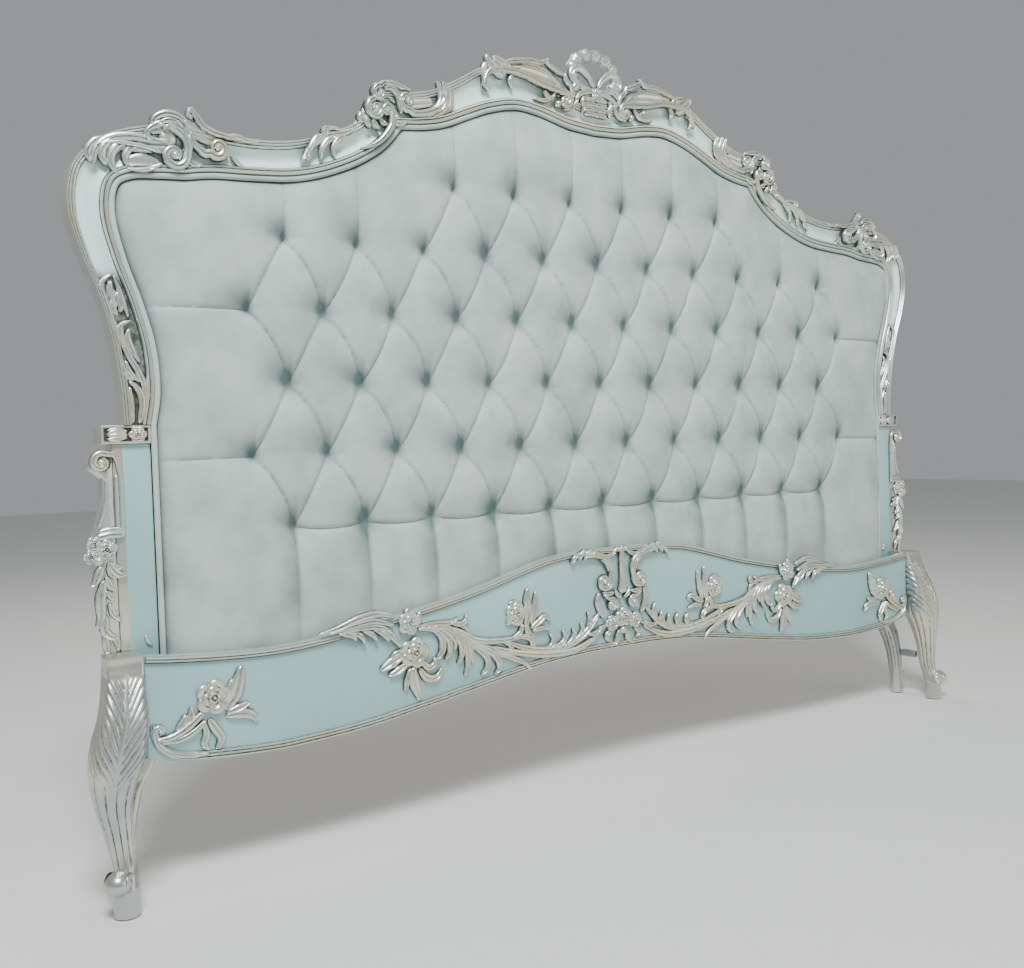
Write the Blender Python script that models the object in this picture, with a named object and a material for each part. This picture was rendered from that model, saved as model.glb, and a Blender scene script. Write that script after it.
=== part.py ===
"""A king bed's tall tufted headboard and its low serpentine footboard, nested for display.

Metres, +Z up. X runs across the bed, -Y is the front, and the feet stand on z = 0.
The headboard's front plane is Y = HEAD_Y; the footboard stands just in front of it.
"""
import bmesh
import bpy
import math
from mathutils import Vector

# ---------------------------------------------------------------- driving dimensions
TUFT_Z = 0.572                # height of the lowest row of tufts, the datum of the outlines
HEAD_Y = 0.0433               # front plane of the headboard's posts
FOOT_Y = HEAD_Y - 0.060       # front plane of the footboard
GAP = 0.0003                  # clearance kept between touching pieces

POST_INNER_X = 0.9400         # inner face of a headboard post
POST_OUTER_X = 1.0000
POST_DEPTH = 0.0500
POST_FOOT_Z = 0.2100          # where the post stands on its leg
BLOCK_Z = TUFT_Z + 0.1550     # underside of the square corner block
BLOCK_HEIGHT = 0.0300

MOULDING_BACK = 0.0330        # the frame's back, behind the front plane
PANEL_BOTTOM_Z = 0.3000       # lower edge of the upholstery
APRON_HEIGHT = 0.0380
PANEL_FRONT = 0.0200          # how far the padding stands proud of the front plane
PANEL_BACK = 0.0300
WELT_RADIUS = 0.0042
WELT_CLEAR = 0.0012           # clear space on each side of the welt
SPAN_STEPS = 2                # straight steps between two points of an outline
BOARD_THICKNESS = 0.0090

RAIL_HALF = 0.9767            # half the footboard panel's width between its legs
FIELD_Y = FOOT_Y + 0.0060     # the footboard's flat field
RAIL_THICKNESS = 0.0180

LEG_SQUARE = 0.0570           # footboard leg's square top
LEG_TOP_Z = 0.3920
LEG_TOP_X = RAIL_HALF + GAP + LEG_SQUARE / 2
LEG_TOP_Y = FOOT_Y + LEG_SQUARE / 2
FOOT_REACH = Vector((0.0220, -0.0660))       # from the leg's top centre to its toe
HEAD_LEG_X = 0.9750
HEAD_LEG_REACH = Vector((0.0350, -0.0230))
TOE_RADIUS = 0.0205
TOE_HEIGHT = 0.0400

# Inner and outer edges of the headboard frame: distance from the middle, height over TUFT_Z.
STILE_INNER = [(0.9395, 0.1855), (0.931, 0.240), (0.935, 0.310), (0.952, 0.380), (0.975, 0.450),
               (0.990, 0.520), (0.983, 0.572), (0.955, 0.592), (0.910, 0.598), (0.868, 0.601)]
STILE_OUTER = [(0.982, 0.1855), (0.985, 0.250), (0.996, 0.330), (1.014, 0.400), (1.038, 0.465),
               (1.053, 0.530), (1.042, 0.597), (0.995, 0.645), (0.930, 0.670), (0.868, 0.676)]
WING_INNER = [(0.8677, 0.601), (0.820, 0.609), (0.750, 0.613), (0.680, 0.620), (0.620, 0.636),
              (0.560, 0.662), (0.515, 0.690), (0.487, 0.716), (0.466, 0.742)]
WING_OUTER = [(0.8677, 0.676), (0.820, 0.674), (0.755, 0.672), (0.692, 0.678), (0.638, 0.692),
              (0.585, 0.714), (0.545, 0.738), (0.525, 0.765), (0.512, 0.793)]
CREST_INNER = [(0.4655, 0.7425), (0.420, 0.748), (0.370, 0.760), (0.310, 0.786), (0.260, 0.806),
               (0.200, 0.820), (0.140, 0.816), (0.070, 0.802), (0.000, 0.797)]
CREST_OUTER = [(0.5108, 0.7940), (0.445, 0.803), (0.390, 0.818), (0.330, 0.850), (0.270, 0.884),
               (0.200, 0.903), (0.130, 0.902), (0.065, 0.855), (0.000, 0.838)]
# Across the moulding from its inner edge (0) to its outer edge (1), and how far it stands forward.
MOULDING = [(0.00, 0.004), (0.05, 0.010), (0.13, 0.011), (0.20, 0.005), (0.27, 0.000),
            (0.70, 0.000), (0.79, 0.007), (0.85, 0.011), (0.94, 0.012), (1.00, 0.005)]

# Top and bottom edges of the footboard, from its end to the middle.
RAIL_TOP = [(RAIL_HALF, -0.183), (0.930, -0.189), (0.850, -0.196), (0.760, -0.199), (0.680, -0.194),
            (0.600, -0.184), (0.520, -0.172), (0.440, -0.158), (0.350, -0.139), (0.260, -0.115),
            (0.180, -0.096), (0.100, -0.089), (0.000, -0.088)]
RAIL_BOTTOM = [(RAIL_HALF, -0.350), (0.930, -0.362), (0.870, -0.371), (0.780, -0.376), (0.700, -0.375),
               (0.600, -0.369), (0.500, -0.356), (0.400, -0.341), (0.300, -0.325), (0.200, -0.311),
               (0.100, -0.304), (0.000, -0.303)]


# ---------------------------------------------------------------- helpers
def clear_scene():
    for obj in list(bpy.data.objects):
        bpy.data.objects.remove(obj, do_unlink=True)


def material(name, colour, roughness, metallic=0.0):
    mat = bpy.data.materials.new(name)
    mat.use_nodes = True
    shader = mat.node_tree.nodes["Principled BSDF"]
    shader.inputs["Base Color"].default_value = (*colour, 1.0)
    shader.inputs["Roughness"].default_value = roughness
    shader.inputs["Metallic"].default_value = metallic
    mat.diffuse_color = (*colour, 1.0)
    return mat


def add_object(name, bm, mat, smooth_angle=35.0):
    bmesh.ops.remove_doubles(bm, verts=bm.verts, dist=1e-6)
    bmesh.ops.recalc_face_normals(bm, faces=bm.faces)
    mesh = bpy.data.meshes.new(name)
    bm.to_mesh(mesh)
    bm.free()
    mesh.shade_smooth()
    mesh.set_sharp_from_angle(angle=math.radians(smooth_angle))
    mesh.materials.append(mat)
    obj = bpy.data.objects.new(name, mesh)
    bpy.context.scene.collection.objects.link(obj)
    return obj


def smooth_curve(points, steps):
    """An open curve through the points, by uniform Catmull-Rom, with this many steps a span."""
    knots = [Vector(point) for point in points]
    knots = [2 * knots[0] - knots[1]] + knots + [2 * knots[-1] - knots[-2]]
    curve = []
    for a, b, c, d in zip(knots, knots[1:], knots[2:], knots[3:]):
        for step in range(steps):
            t = step / steps
            curve.append(0.5 * (2 * b + (c - a) * t + (2 * a - 5 * b + 4 * c - d) * t * t
                                + (3 * b - a - 3 * c + d) * t ** 3))
    curve.append(knots[-2])
    return curve


def offset_curve(curve, distance):
    """The curve moved sideways, to the left of the way that it runs."""
    moved = []
    for index, point in enumerate(curve):
        ahead = curve[min(index + 1, len(curve) - 1)]
        behind = curve[max(index - 1, 0)]
        along = (ahead - behind).normalized()
        moved.append(point + distance * Vector((-along.y, along.x)))
    return moved


def mirrored(half):
    """A whole symmetrical edge, from -X to +X, out of its half that runs from +X to the middle."""
    left = [Vector((-point.x, point.y)) for point in half]
    return left + list(reversed(half))[1:]


def raise_to_frame(curve):
    return [Vector((point.x, point.y + TUFT_Z)) for point in curve]


def prism(name, outline, front_y, back_y, mat, bevel=0.0):
    """A closed outline in the XZ plane, with thickness from front_y to back_y."""
    bm = bmesh.new()
    face = bm.faces.new([bm.verts.new((point[0], front_y, point[1])) for point in outline])
    extruded = bmesh.ops.extrude_face_region(bm, geom=[face])
    moved = [item for item in extruded["geom"] if isinstance(item, bmesh.types.BMVert)]
    bmesh.ops.translate(bm, verts=moved, vec=(0, back_y - front_y, 0))
    bmesh.ops.recalc_face_normals(bm, faces=bm.faces)
    if bevel:
        front = [edge for edge in bm.edges
                 if all(abs(vert.co.y - front_y) < 1e-6 for vert in edge.verts)]
        bmesh.ops.bevel(bm, geom=front, offset=bevel, segments=2, profile=0.5, affect="EDGES",
                        material=-1)
    return add_object(name, bm, mat)


def loft(name, rings, mat):
    """A closed solid through rings of points that all have the same number of points."""
    bm = bmesh.new()
    loops = [[bm.verts.new(point) for point in ring] for ring in rings]
    count = len(loops[0])
    for lower, upper in zip(loops, loops[1:]):
        for index in range(count):
            after = (index + 1) % count
            bm.faces.new((lower[index], lower[after], upper[after], upper[index]))
    bm.faces.new(loops[0])
    bm.faces.new(loops[-1])
    return add_object(name, bm, mat)


def box(name, low, high, mat, bevel=0.0015):
    bm = bmesh.new()
    bmesh.ops.create_cube(bm, size=1.0)
    size = Vector(high) - Vector(low)
    bmesh.ops.scale(bm, vec=size, verts=bm.verts)
    bmesh.ops.translate(bm, vec=(Vector(low) + Vector(high)) / 2, verts=bm.verts)
    bmesh.ops.bevel(bm, geom=list(bm.edges), offset=bevel, segments=1, affect="EDGES", material=-1)
    return add_object(name, bm, mat)


def sided_box(name, side, low, high, mat, bevel=0.0015):
    """A box given for the +X side, or its mirror image for side = -1."""
    xs = sorted((side * low[0], side * high[0]))
    return box(name, (xs[0], low[1], low[2]), (xs[1], high[1], high[2]), mat, bevel)


# ---------------------------------------------------------------- headboard frame
def moulding(name, side, inner, outer, mat, through_middle=False):
    """One length of the frame: the moulding's section laid between its two edges."""
    inner = raise_to_frame(smooth_curve(inner, SPAN_STEPS))
    outer = raise_to_frame(smooth_curve(outer, SPAN_STEPS))
    if through_middle:
        inner, outer = mirrored(inner), mirrored(outer)
    rings = []
    for near, far in zip(inner, outer):
        ring = []
        for across, forward in MOULDING:
            point = near.lerp(far, across)
            ring.append((side * point.x, HEAD_Y - forward, point.y))
        ring.append((side * far.x, HEAD_Y + MOULDING_BACK, far.y))
        ring.append((side * near.x, HEAD_Y + MOULDING_BACK, near.y))
        rings.append(ring)
    return loft(name, rings, mat)


def inner_edge():
    """The frame's whole inner edge, round which the upholstery sits, from -X to +X."""
    post = [Vector((POST_INNER_X - GAP, PANEL_BOTTOM_Z - TUFT_Z)), Vector((POST_INNER_X - GAP, 0.1850))]
    half = post + smooth_curve(STILE_INNER, SPAN_STEPS)
    half += smooth_curve(WING_INNER, SPAN_STEPS)[1:] + smooth_curve(CREST_INNER, SPAN_STEPS)[1:]
    return raise_to_frame(mirrored(half))


def upholstery(fabric, timber):
    edge = inner_edge()
    panel = offset_curve(edge, -2 * (WELT_RADIUS + WELT_CLEAR))
    prism("tufted_panel", panel, HEAD_Y - PANEL_FRONT, HEAD_Y + PANEL_BACK, fabric, bevel=0.012)
    board = offset_curve(edge, -2 * GAP)
    prism("backing_board", board, HEAD_Y + PANEL_BACK + GAP,
          HEAD_Y + PANEL_BACK + GAP + BOARD_THICKNESS, timber)
    rings = []
    centres = offset_curve(edge, -(WELT_RADIUS + WELT_CLEAR))
    for index, centre in enumerate(centres):
        along = centres[min(index + 1, len(centres) - 1)] - centres[max(index - 1, 0)]
        across = Vector((-along.y, along.x)).normalized()
        ring = []
        for corner in range(6):
            angle = math.tau * corner / 6
            point = centre + across * WELT_RADIUS * math.cos(angle)
            ring.append((point.x, HEAD_Y - 0.003 + WELT_RADIUS * math.sin(angle), point.y))
        rings.append(ring)
    loft("panel_welt", rings, fabric)
    box("headboard_apron", (-POST_INNER_X + GAP, HEAD_Y + 0.004, PANEL_BOTTOM_Z - APRON_HEIGHT),
        (POST_INNER_X - GAP, HEAD_Y + PANEL_BACK, PANEL_BOTTOM_Z - GAP), timber, bevel=0.002)


def volute_console(name, side, mat):
    """The scroll on the post's outer face: a volute on top, a waist, and a swelling below."""
    base_x = POST_OUTER_X + GAP
    volute = [Vector((0.0178 + 0.0175 * math.cos(angle), 0.124 + 0.0175 * math.sin(angle)))
              for angle in [math.radians(150 - 27 * step) for step in range(9)]]
    swell = smooth_curve([(0.0165, 0.100), (0.0175, 0.065), (0.0250, 0.028), (0.0340, 0.004)], 4)
    lower = smooth_curve([(0.0330, -0.060), (0.0250, -0.130), (0.0210, -0.190)], 4)
    outline = [Vector((0.0, 0.140))] + volute + swell + lower + [Vector((0.0, -0.190))]
    outline = [(side * (base_x + point.x), point.y + TUFT_Z) for point in outline]
    prism(name, outline, HEAD_Y, HEAD_Y + 0.036, mat, bevel=0.003)


def headboard_side(label, side, silver, tint, steel):
    post = sided_box(f"headboard_post_{label}", side, (POST_INNER_X, HEAD_Y, POST_FOOT_Z + GAP),
                     (POST_OUTER_X, HEAD_Y + POST_DEPTH, BLOCK_Z - GAP), tint, bevel=0.002)
    sided_box(f"corner_block_{label}", side, (POST_INNER_X, HEAD_Y - 0.006, BLOCK_Z),
              (1.0170, HEAD_Y + POST_DEPTH, BLOCK_Z + BLOCK_HEIGHT), silver, bevel=0.003)
    volute_console(f"post_console_{label}", side, silver)
    moulding(f"stile_{label}", side, STILE_INNER, STILE_OUTER, silver)
    moulding(f"wing_rail_{label}", side, WING_INNER, WING_OUTER, silver)
    sided_box(f"headboard_hook_plate_{label}", side, (0.950, HEAD_Y - 0.0023, 0.245),
              (0.974, HEAD_Y - GAP, 0.365), steel, bevel=0.0005)
    return post


# ---------------------------------------------------------------- legs
def leg_ring(centre, half, squareness, z, count=16):
    """One level of a leg: a circle drawn out towards a square as squareness grows from 2."""
    ring = []
    for index in range(count):
        angle = math.tau * (index + 0.5) / count
        cosine, sine = math.cos(angle), math.sin(angle)
        reach = (abs(cosine) ** squareness + abs(sine) ** squareness) ** (-1 / squareness)
        ring.append((centre.x + half * reach * cosine, centre.y + half * reach * sine, z))
    return ring


def cabriole_leg(name, side, top_centre, levels, ball, mat):
    """levels: height, way outwards and backwards from the top's centre, half width, squareness."""
    rings = []
    for z, outwards, backwards, half, squareness in levels:
        centre = Vector((side * (top_centre.x + outwards), top_centre.y + backwards))
        rings.append(leg_ring(centre, half, squareness, z))
    leg = loft(name, rings, mat)
    outwards, backwards, height, radius = ball
    bm = bmesh.new()
    bmesh.ops.create_uvsphere(bm, u_segments=18, v_segments=10, radius=radius)
    bmesh.ops.translate(bm, verts=bm.verts,
                        vec=(side * (top_centre.x + outwards), top_centre.y + backwards, height))
    cutter = add_object(f"{name}_ball", bm, mat)
    cutter.hide_render = True
    cutter.display_type = "WIRE"
    union = leg.modifiers.new("toe_ball", "BOOLEAN")
    union.operation = "UNION"
    union.object = cutter
    return leg


FOOT_LEG_LEVELS = [
    (LEG_TOP_Z, 0.0, 0.0, LEG_SQUARE / 2, 14.0), (0.372, 0.001, -0.002, 0.0280, 12.0),
    (0.340, 0.007, -0.014, 0.0280, 6.0), (0.300, 0.015, -0.028, 0.0295, 4.0), (0.265, 0.023, -0.031, 0.0330, 3.2),
    (0.230, 0.028, -0.032, 0.0345, 2.8), (0.200, 0.031, -0.034, 0.0320, 2.6), (0.165, 0.030, -0.038, 0.0270, 2.4),
    (0.126, 0.026, -0.044, 0.0225, 2.3), (0.095, 0.023, -0.048, 0.0200, 2.2), (0.070, 0.021, -0.056, 0.0190, 2.1),
    (0.050, 0.021, -0.063, 0.0200, 2.0), (TOE_HEIGHT, *FOOT_REACH, TOE_RADIUS, 2.0),
    (0.0, *FOOT_REACH, TOE_RADIUS, 2.0)]
HEAD_LEG_LEVELS = [
    (POST_FOOT_Z, 0.0, 0.0, 0.0245, 10.0), (0.190, 0.006, -0.004, 0.0235, 6.0), (0.165, 0.018, -0.012, 0.0205, 4.0),
    (0.130, 0.026, -0.017, 0.0185, 3.0), (0.100, 0.030, -0.020, 0.0178, 2.5), (0.070, 0.032, -0.022, 0.0172, 2.2),
    (0.050, 0.034, -0.023, 0.0172, 2.0), (0.036, *HEAD_LEG_REACH, 0.0168, 2.0), (0.0, *HEAD_LEG_REACH, 0.0168, 2.0)]


# ---------------------------------------------------------------- carved pieces
def leaf(name, side, spine, width, lobes, front_y, depth, mat, steps=4):
    """A carved leaf or scroll: a smooth spine whose width swells and is nicked into lobes."""
    line = smooth_curve(spine, steps)
    left_edge, right_edge = [], []
    last = len(line) - 1
    for index, point in enumerate(line):
        t = index / last
        ahead, behind = line[min(index + 1, last)], line[max(index - 1, 0)]
        along = (ahead - behind).normalized()
        across = Vector((-along.y, along.x))
        swell = math.sin(math.pi * (0.10 + 0.86 * t)) ** 0.7
        nick = 1.0 - 0.28 * abs(math.cos(math.pi * lobes * t))
        half = max(width * swell * nick / 2, 0.0012)
        left_edge.append(point + across * half)
        right_edge.append(point - across * half)
    outline = left_edge + list(reversed(right_edge))
    outline = [(side * point.x, point.y + TUFT_Z) for point in outline]
    return prism(name, outline, front_y - depth, front_y, mat)


def rosette(name, centre, radius, petals, front_y, depth, mat, count=20):
    """A round flower: petal lobes at the rim, doming forward to a flat eye."""
    rings = []
    for share, forward in ((1.0, 0.0), (0.90, 0.7), (0.35, 1.0)):
        ring = []
        for index in range(count):
            angle = math.tau * index / count
            reach = radius * share * (1 + 0.10 * share * math.cos(petals * angle))
            ring.append((centre[0] + reach * math.cos(angle), front_y - depth * forward,
                         TUFT_Z + centre[1] + reach * math.sin(angle)))
        rings.append(ring)
    return loft(name, rings, mat)


def crest_reeds(mat):
    """The bundle of reeds, bound at intervals, that lies across the dip of the crest rail."""
    rings = []
    for index in range(17):
        x = 0.0450 * (index / 8 - 1)
        radius = 0.0080 * (1 - 0.12 * math.cos(math.tau * index / 4))
        centre_z = TUFT_Z + 0.8575
        ring = []
        for corner in range(8):
            turn = math.tau * (corner + 0.5) / 8
            ring.append((x, HEAD_Y - 0.004 + radius * math.cos(turn), centre_z + radius * math.sin(turn)))
        rings.append(ring)
    loft("crest_reeds", rings, mat)


def crest_ring(mat):
    """The crest's open ribbon ring, standing on the bound reeds."""
    rings = []
    for index in range(29):
        angle = math.radians(-40 + 260 * index / 28)
        centre = Vector((0.062 * math.cos(angle), 0.908 + 0.047 * math.sin(angle)))
        out = Vector((math.cos(angle), math.sin(angle)))
        radius = 0.0105 * (1 + 0.12 * math.cos(11 * angle))
        ring = []
        for corner in range(6):
            turn = math.tau * corner / 6
            point = centre + out * radius * math.cos(turn)
            ring.append((point.x, HEAD_Y - 0.004 + radius * math.sin(turn), TUFT_Z + point.y))
        rings.append(ring)
    loft("crest_ring", rings, mat)


def headboard_carving(label, side, silver):
    front = HEAD_Y - 0.0125
    leaf(f"shoulder_leaf_{label}", side, [(1.030, 0.602), (0.995, 0.628), (0.950, 0.640), (0.908, 0.630)],
         0.050, 5, front, 0.012, silver)
    leaf(f"shoulder_shell_{label}", side, [(0.884, 0.610), (0.872, 0.650), (0.880, 0.690), (0.862, 0.704),
                                          (0.835, 0.682), (0.815, 0.655), (0.795, 0.655)],
         0.040, 6, front, 0.016, silver)
    leaf(f"peak_shell_{label}", side, [(0.535, 0.760), (0.522, 0.792), (0.498, 0.798), (0.490, 0.770),
                                      (0.460, 0.772), (0.430, 0.785)],
         0.042, 6, front, 0.016, silver)
    leaf(f"stile_leaf_{label}", side, [(0.956, 0.200), (0.958, 0.260), (0.968, 0.330), (0.990, 0.410)],
         0.020, 7, HEAD_Y - 0.0008, 0.009, silver)
    leaf(f"crest_leaf_{label}", side, [(0.262, 0.872), (0.215, 0.878), (0.160, 0.880), (0.118, 0.888),
                                      (0.100, 0.868), (0.085, 0.842)],
         0.040, 7, front, 0.014, silver)
    block_centre = (side * 0.962, BLOCK_Z - TUFT_Z + BLOCK_HEIGHT / 2)
    rosette(f"block_rosette_{label}", block_centre, 0.0115, 8, HEAD_Y - 0.006 - GAP, 0.007, silver)
    leaf(f"post_drop_{label}", side, [(1.013, 0.010), (1.015, -0.040), (1.012, -0.090), (1.008, -0.140),
                                     (1.006, -0.176)],
         0.036, 6, HEAD_Y - GAP, 0.008, silver)


# ---------------------------------------------------------------- footboard
def footboard_panel(tint):
    top = raise_to_frame(mirrored(smooth_curve(RAIL_TOP, SPAN_STEPS)))
    bottom = raise_to_frame(mirrored(smooth_curve(RAIL_BOTTOM, SPAN_STEPS)))
    prism("footboard_panel", top + list(reversed(bottom)), FIELD_Y, FIELD_Y + RAIL_THICKNESS, tint)


def bead(name, path, width, mat):
    """A half-round bead planted on the footboard's field, along a path in the XZ plane."""
    rings = []
    left_edge, right_edge = offset_curve(path, width / 2), offset_curve(path, -width / 2)
    base = FIELD_Y - GAP
    for left_point, right_point in zip(left_edge, right_edge):
        ring = [(left_point.x, base, left_point.y)]
        for across, forward in ((0.08, 0.0040), (0.30, 0.0055), (0.50, 0.0040), (0.70, 0.0057), (0.92, 0.0045)):
            point = left_point.lerp(right_point, across)
            ring.append((point.x, base - forward, point.y))
        ring.append((right_point.x, base, right_point.y))
        rings.append(ring)
    return loft(name, rings, mat)


def footboard_carving(label, side, silver):
    front = FIELD_Y - GAP
    second = front - 0.0093          # flowers lie on the leaves
    leaf(f"spray_inner_{label}", side, [(0.078, -0.258), (0.130, -0.266), (0.190, -0.262), (0.250, -0.272),
                                       (0.300, -0.268), (0.345, -0.282)],
         0.034, 9, front, 0.009, silver)
    leaf(f"spray_outer_{label}", side, [(0.285, -0.226), (0.325, -0.232), (0.375, -0.220), (0.430, -0.212),
                                       (0.470, -0.232), (0.520, -0.262)],
         0.044, 9, front, 0.009, silver)
    rosette(f"upper_rose_{label}", (side * 0.254, -0.212), 0.027, 5, second, 0.010, silver)
    rosette(f"lower_rose_{label}", (side * 0.487, -0.262), 0.030, 5, second, 0.010, silver)
    leaf(f"top_leaf_{label}", side, [(0.660, -0.193), (0.610, -0.192), (0.560, -0.190), (0.508, -0.184)],
         0.030, 8, front - 0.0062, 0.008, silver)
    leaf(f"leg_spray_{label}", side, [(0.946, -0.312), (0.915, -0.305), (0.885, -0.272), (0.850, -0.262),
                                     (0.815, -0.232)],
         0.050, 8, front, 0.009, silver)
    rosette(f"leg_rose_{label}", (side * 0.872, -0.262), 0.026, 5, second, 0.010, silver)


def centre_cartouche(silver):
    """The lyre in the middle: two scrolls that stand on a clump of flowers."""
    half = [(0.000, -0.085), (0.020, -0.100), (0.050, -0.092), (0.095, -0.085), (0.118, -0.094),
            (0.090, -0.104), (0.062, -0.118), (0.060, -0.140), (0.054, -0.170), (0.038, -0.182),
            (0.058, -0.196), (0.070, -0.222), (0.070, -0.256), (0.052, -0.284), (0.020, -0.292),
            (0.000, -0.290)]
    right = smooth_curve(half, 3)
    left = [Vector((-point.x, point.y)) for point in reversed(right)]
    outline = raise_to_frame(right + left[1:-1])
    prism("centre_cartouche", outline, FIELD_Y - GAP - 0.0062 - 0.010, FIELD_Y - GAP - 0.0062, silver, bevel=0.002)


def footboard_side(label, side, silver, steel):
    cabriole_leg(f"footboard_leg_{label}", side, Vector((LEG_TOP_X, LEG_TOP_Y)), FOOT_LEG_LEVELS,
                 (0.036, -0.071, 0.055, 0.0190), silver)
    sided_box(f"footboard_hook_plate_{label}", side, (0.984, LEG_TOP_Y + LEG_SQUARE / 2 + GAP, 0.275),
              (1.008, LEG_TOP_Y + LEG_SQUARE / 2 + 0.0023, 0.380), steel, bevel=0.0005)


def build():
    clear_scene()
    silver = material("silver_leaf_frame", (0.60, 0.64, 0.62), 0.38, 0.55)
    leg_silver = material("silver_leaf_legs", (0.47, 0.50, 0.49), 0.36, 0.65)
    tint = material("mint_lacquer", (0.45, 0.62, 0.62), 0.42)
    fabric = material("grey_velvet", (0.50, 0.50, 0.48), 0.85)
    timber = material("stained_timber", (0.20, 0.14, 0.09), 0.70)
    steel = material("zinc_steel", (0.55, 0.56, 0.57), 0.40, 0.90)
    upholstery(fabric, timber)
    moulding("crest_rail", 1, CREST_INNER, CREST_OUTER, silver, through_middle=True)
    crest_reeds(silver)
    crest_ring(silver)
    footboard_panel(tint)
    top_path = [(RAIL_HALF - 0.002, -0.1834)] + RAIL_TOP[1:]
    top_path = raise_to_frame(mirrored(smooth_curve(top_path, SPAN_STEPS)))
    bead("top_bead", offset_curve(top_path, -0.0065), 0.011, silver)
    bottom_path = [(0.966, -0.296), (0.965, -0.316), (0.950, -0.341), (0.905, -0.357)]
    bottom_path += [(x, z + 0.0085) for x, z in RAIL_BOTTOM[3:]]
    bead("bottom_bead", raise_to_frame(mirrored(smooth_curve(bottom_path, SPAN_STEPS))), 0.014, silver)
    centre_cartouche(silver)
    for label, side in (("left", -1), ("right", 1)):
        headboard_side(label, side, silver, tint, steel)
        headboard_carving(label, side, silver)
        cabriole_leg(f"headboard_leg_{label}", side, Vector((HEAD_LEG_X, HEAD_Y + POST_DEPTH / 2)),
                     HEAD_LEG_LEVELS, (0.043, -0.028, 0.050, 0.0125), leg_silver)
        footboard_side(label, side, leg_silver, steel)
        footboard_carving(label, side, silver)
        sided_box(f"spacer_bar_{label}", side, (1.006, HEAD_Y - 0.0563, 0.104),
                  (1.020, HEAD_Y - 0.0133, 0.120), steel, bevel=0.001)


build()
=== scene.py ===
"""Looks of a tufted, carved and silver-leafed display bed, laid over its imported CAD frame.

Metres, +Z up, -Y is the front. Carved lines are written in millimetres on the face that they
lie on: distance from the bed's middle, and height over the lowest row of tufts.
"""
import math

import bmesh
import bpy
import numpy as np
from mathutils import Matrix, Vector


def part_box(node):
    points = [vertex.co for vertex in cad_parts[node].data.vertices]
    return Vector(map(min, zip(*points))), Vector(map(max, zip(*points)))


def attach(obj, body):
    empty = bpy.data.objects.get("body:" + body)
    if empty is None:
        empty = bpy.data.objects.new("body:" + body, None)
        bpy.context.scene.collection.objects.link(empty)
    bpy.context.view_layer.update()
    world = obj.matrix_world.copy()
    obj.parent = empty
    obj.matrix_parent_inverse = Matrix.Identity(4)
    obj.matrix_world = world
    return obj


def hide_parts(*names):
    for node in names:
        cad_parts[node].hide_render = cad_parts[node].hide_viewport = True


bl_info = {
    "name": "Carved Display Bed",
    "version": (1, 0, 0),
    "blender": (4, 5, 0),
    "location": "View3D > Sidebar > Bed",
    "description": "Models the tufted headboard, its carved frame and the serpentine footboard",
    "category": "Object",
}

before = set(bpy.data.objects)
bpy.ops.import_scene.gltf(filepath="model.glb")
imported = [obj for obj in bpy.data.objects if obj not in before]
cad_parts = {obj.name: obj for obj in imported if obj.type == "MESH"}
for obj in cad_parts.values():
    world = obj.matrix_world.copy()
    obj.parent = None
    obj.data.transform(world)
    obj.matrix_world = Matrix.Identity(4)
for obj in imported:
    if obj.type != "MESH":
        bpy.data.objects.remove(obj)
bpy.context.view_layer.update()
SIDES = (("left", -1), ("right", 1))

HEAD_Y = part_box("headboard_post_right")[0].y         # front plane of the headboard's posts
FIELD_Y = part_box("footboard_panel")[0].y             # the footboard's flat field
TUFT_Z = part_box("corner_block_right")[0].z - 0.155   # height of the lowest row of tufts
PANEL_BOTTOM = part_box("tufted_panel")[0].z - TUFT_Z
COLUMN, ROW = 0.140, 0.1266                          # spacing of the tufts
WELT_CLEAR = 0.0004                                  # between the welt and the frame
SHOULDER_CORNER = (0.966, 0.578)                     # where the panel's side turns into its top
RIGHTWARD_BOW = 0.0085                               # sag of a fold that runs down to the right
POST_STRIP_X = 0.9845                                # outside this, a post's front is leafed
FIELD_END_X = 0.9767                                 # half the length of the footboard's field
FOOT_LEG_HALF = 0.0285                               # half the width of a footboard leg's square top
FOOT_LEG_TOP = (FIELD_END_X + 0.0003 + FOOT_LEG_HALF, FIELD_Y - 0.006 + FOOT_LEG_HALF)
HEAD_LEG_TOP = (0.975, HEAD_Y + 0.025)

# Edges of the headboard's frame, from the corner block up and in to the middle, in millimetres.
STILE_INNER = [(939.5, 185.5), (931, 240), (935, 310), (952, 380), (975, 450), (990, 520), (983, 572),
               (955, 592), (910, 598), (868, 601)]
STILE_OUTER = [(982, 185.5), (985, 250), (996, 330), (1014, 400), (1038, 465), (1053, 530), (1042, 597),
               (995, 645), (930, 670), (868, 676)]
WING_INNER = [(867.7, 601), (820, 609), (750, 613), (680, 620), (620, 636), (560, 662), (515, 690),
              (487, 716), (466, 742)]
WING_OUTER = [(867.7, 676), (820, 674), (755, 672), (692, 678), (638, 692), (585, 714), (545, 738),
              (525, 765), (512, 793)]
CREST_INNER = [(465.5, 742.5), (420, 748), (370, 760), (310, 786), (260, 806), (200, 820), (140, 816),
               (70, 802), (0, 797)]
CREST_OUTER = [(510.8, 794), (445, 803), (390, 818), (330, 850), (270, 884), (200, 903), (130, 902),
               (65, 855), (0, 838)]
RAIL_TOP = [(976.7, -183), (930, -189), (850, -196), (760, -199), (680, -194), (600, -184), (520, -172),
            (440, -158), (350, -139), (260, -115), (180, -96), (100, -89), (0, -88)]
RAIL_BOTTOM = [(976.7, -350), (930, -362), (870, -371), (780, -376), (700, -375), (600, -369),
               (500, -356), (400, -341), (300, -325), (200, -311), (100, -304), (0, -303)]
BOTTOM_BEAD = [(966, -296), (965, -316), (950, -341), (905, -357), (780, -367.5), (700, -366.5),
               (600, -360.5), (500, -347.5), (400, -332.5), (300, -316.5), (200, -302.5), (100, -295.5),
               (0, -294.5)]

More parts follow.
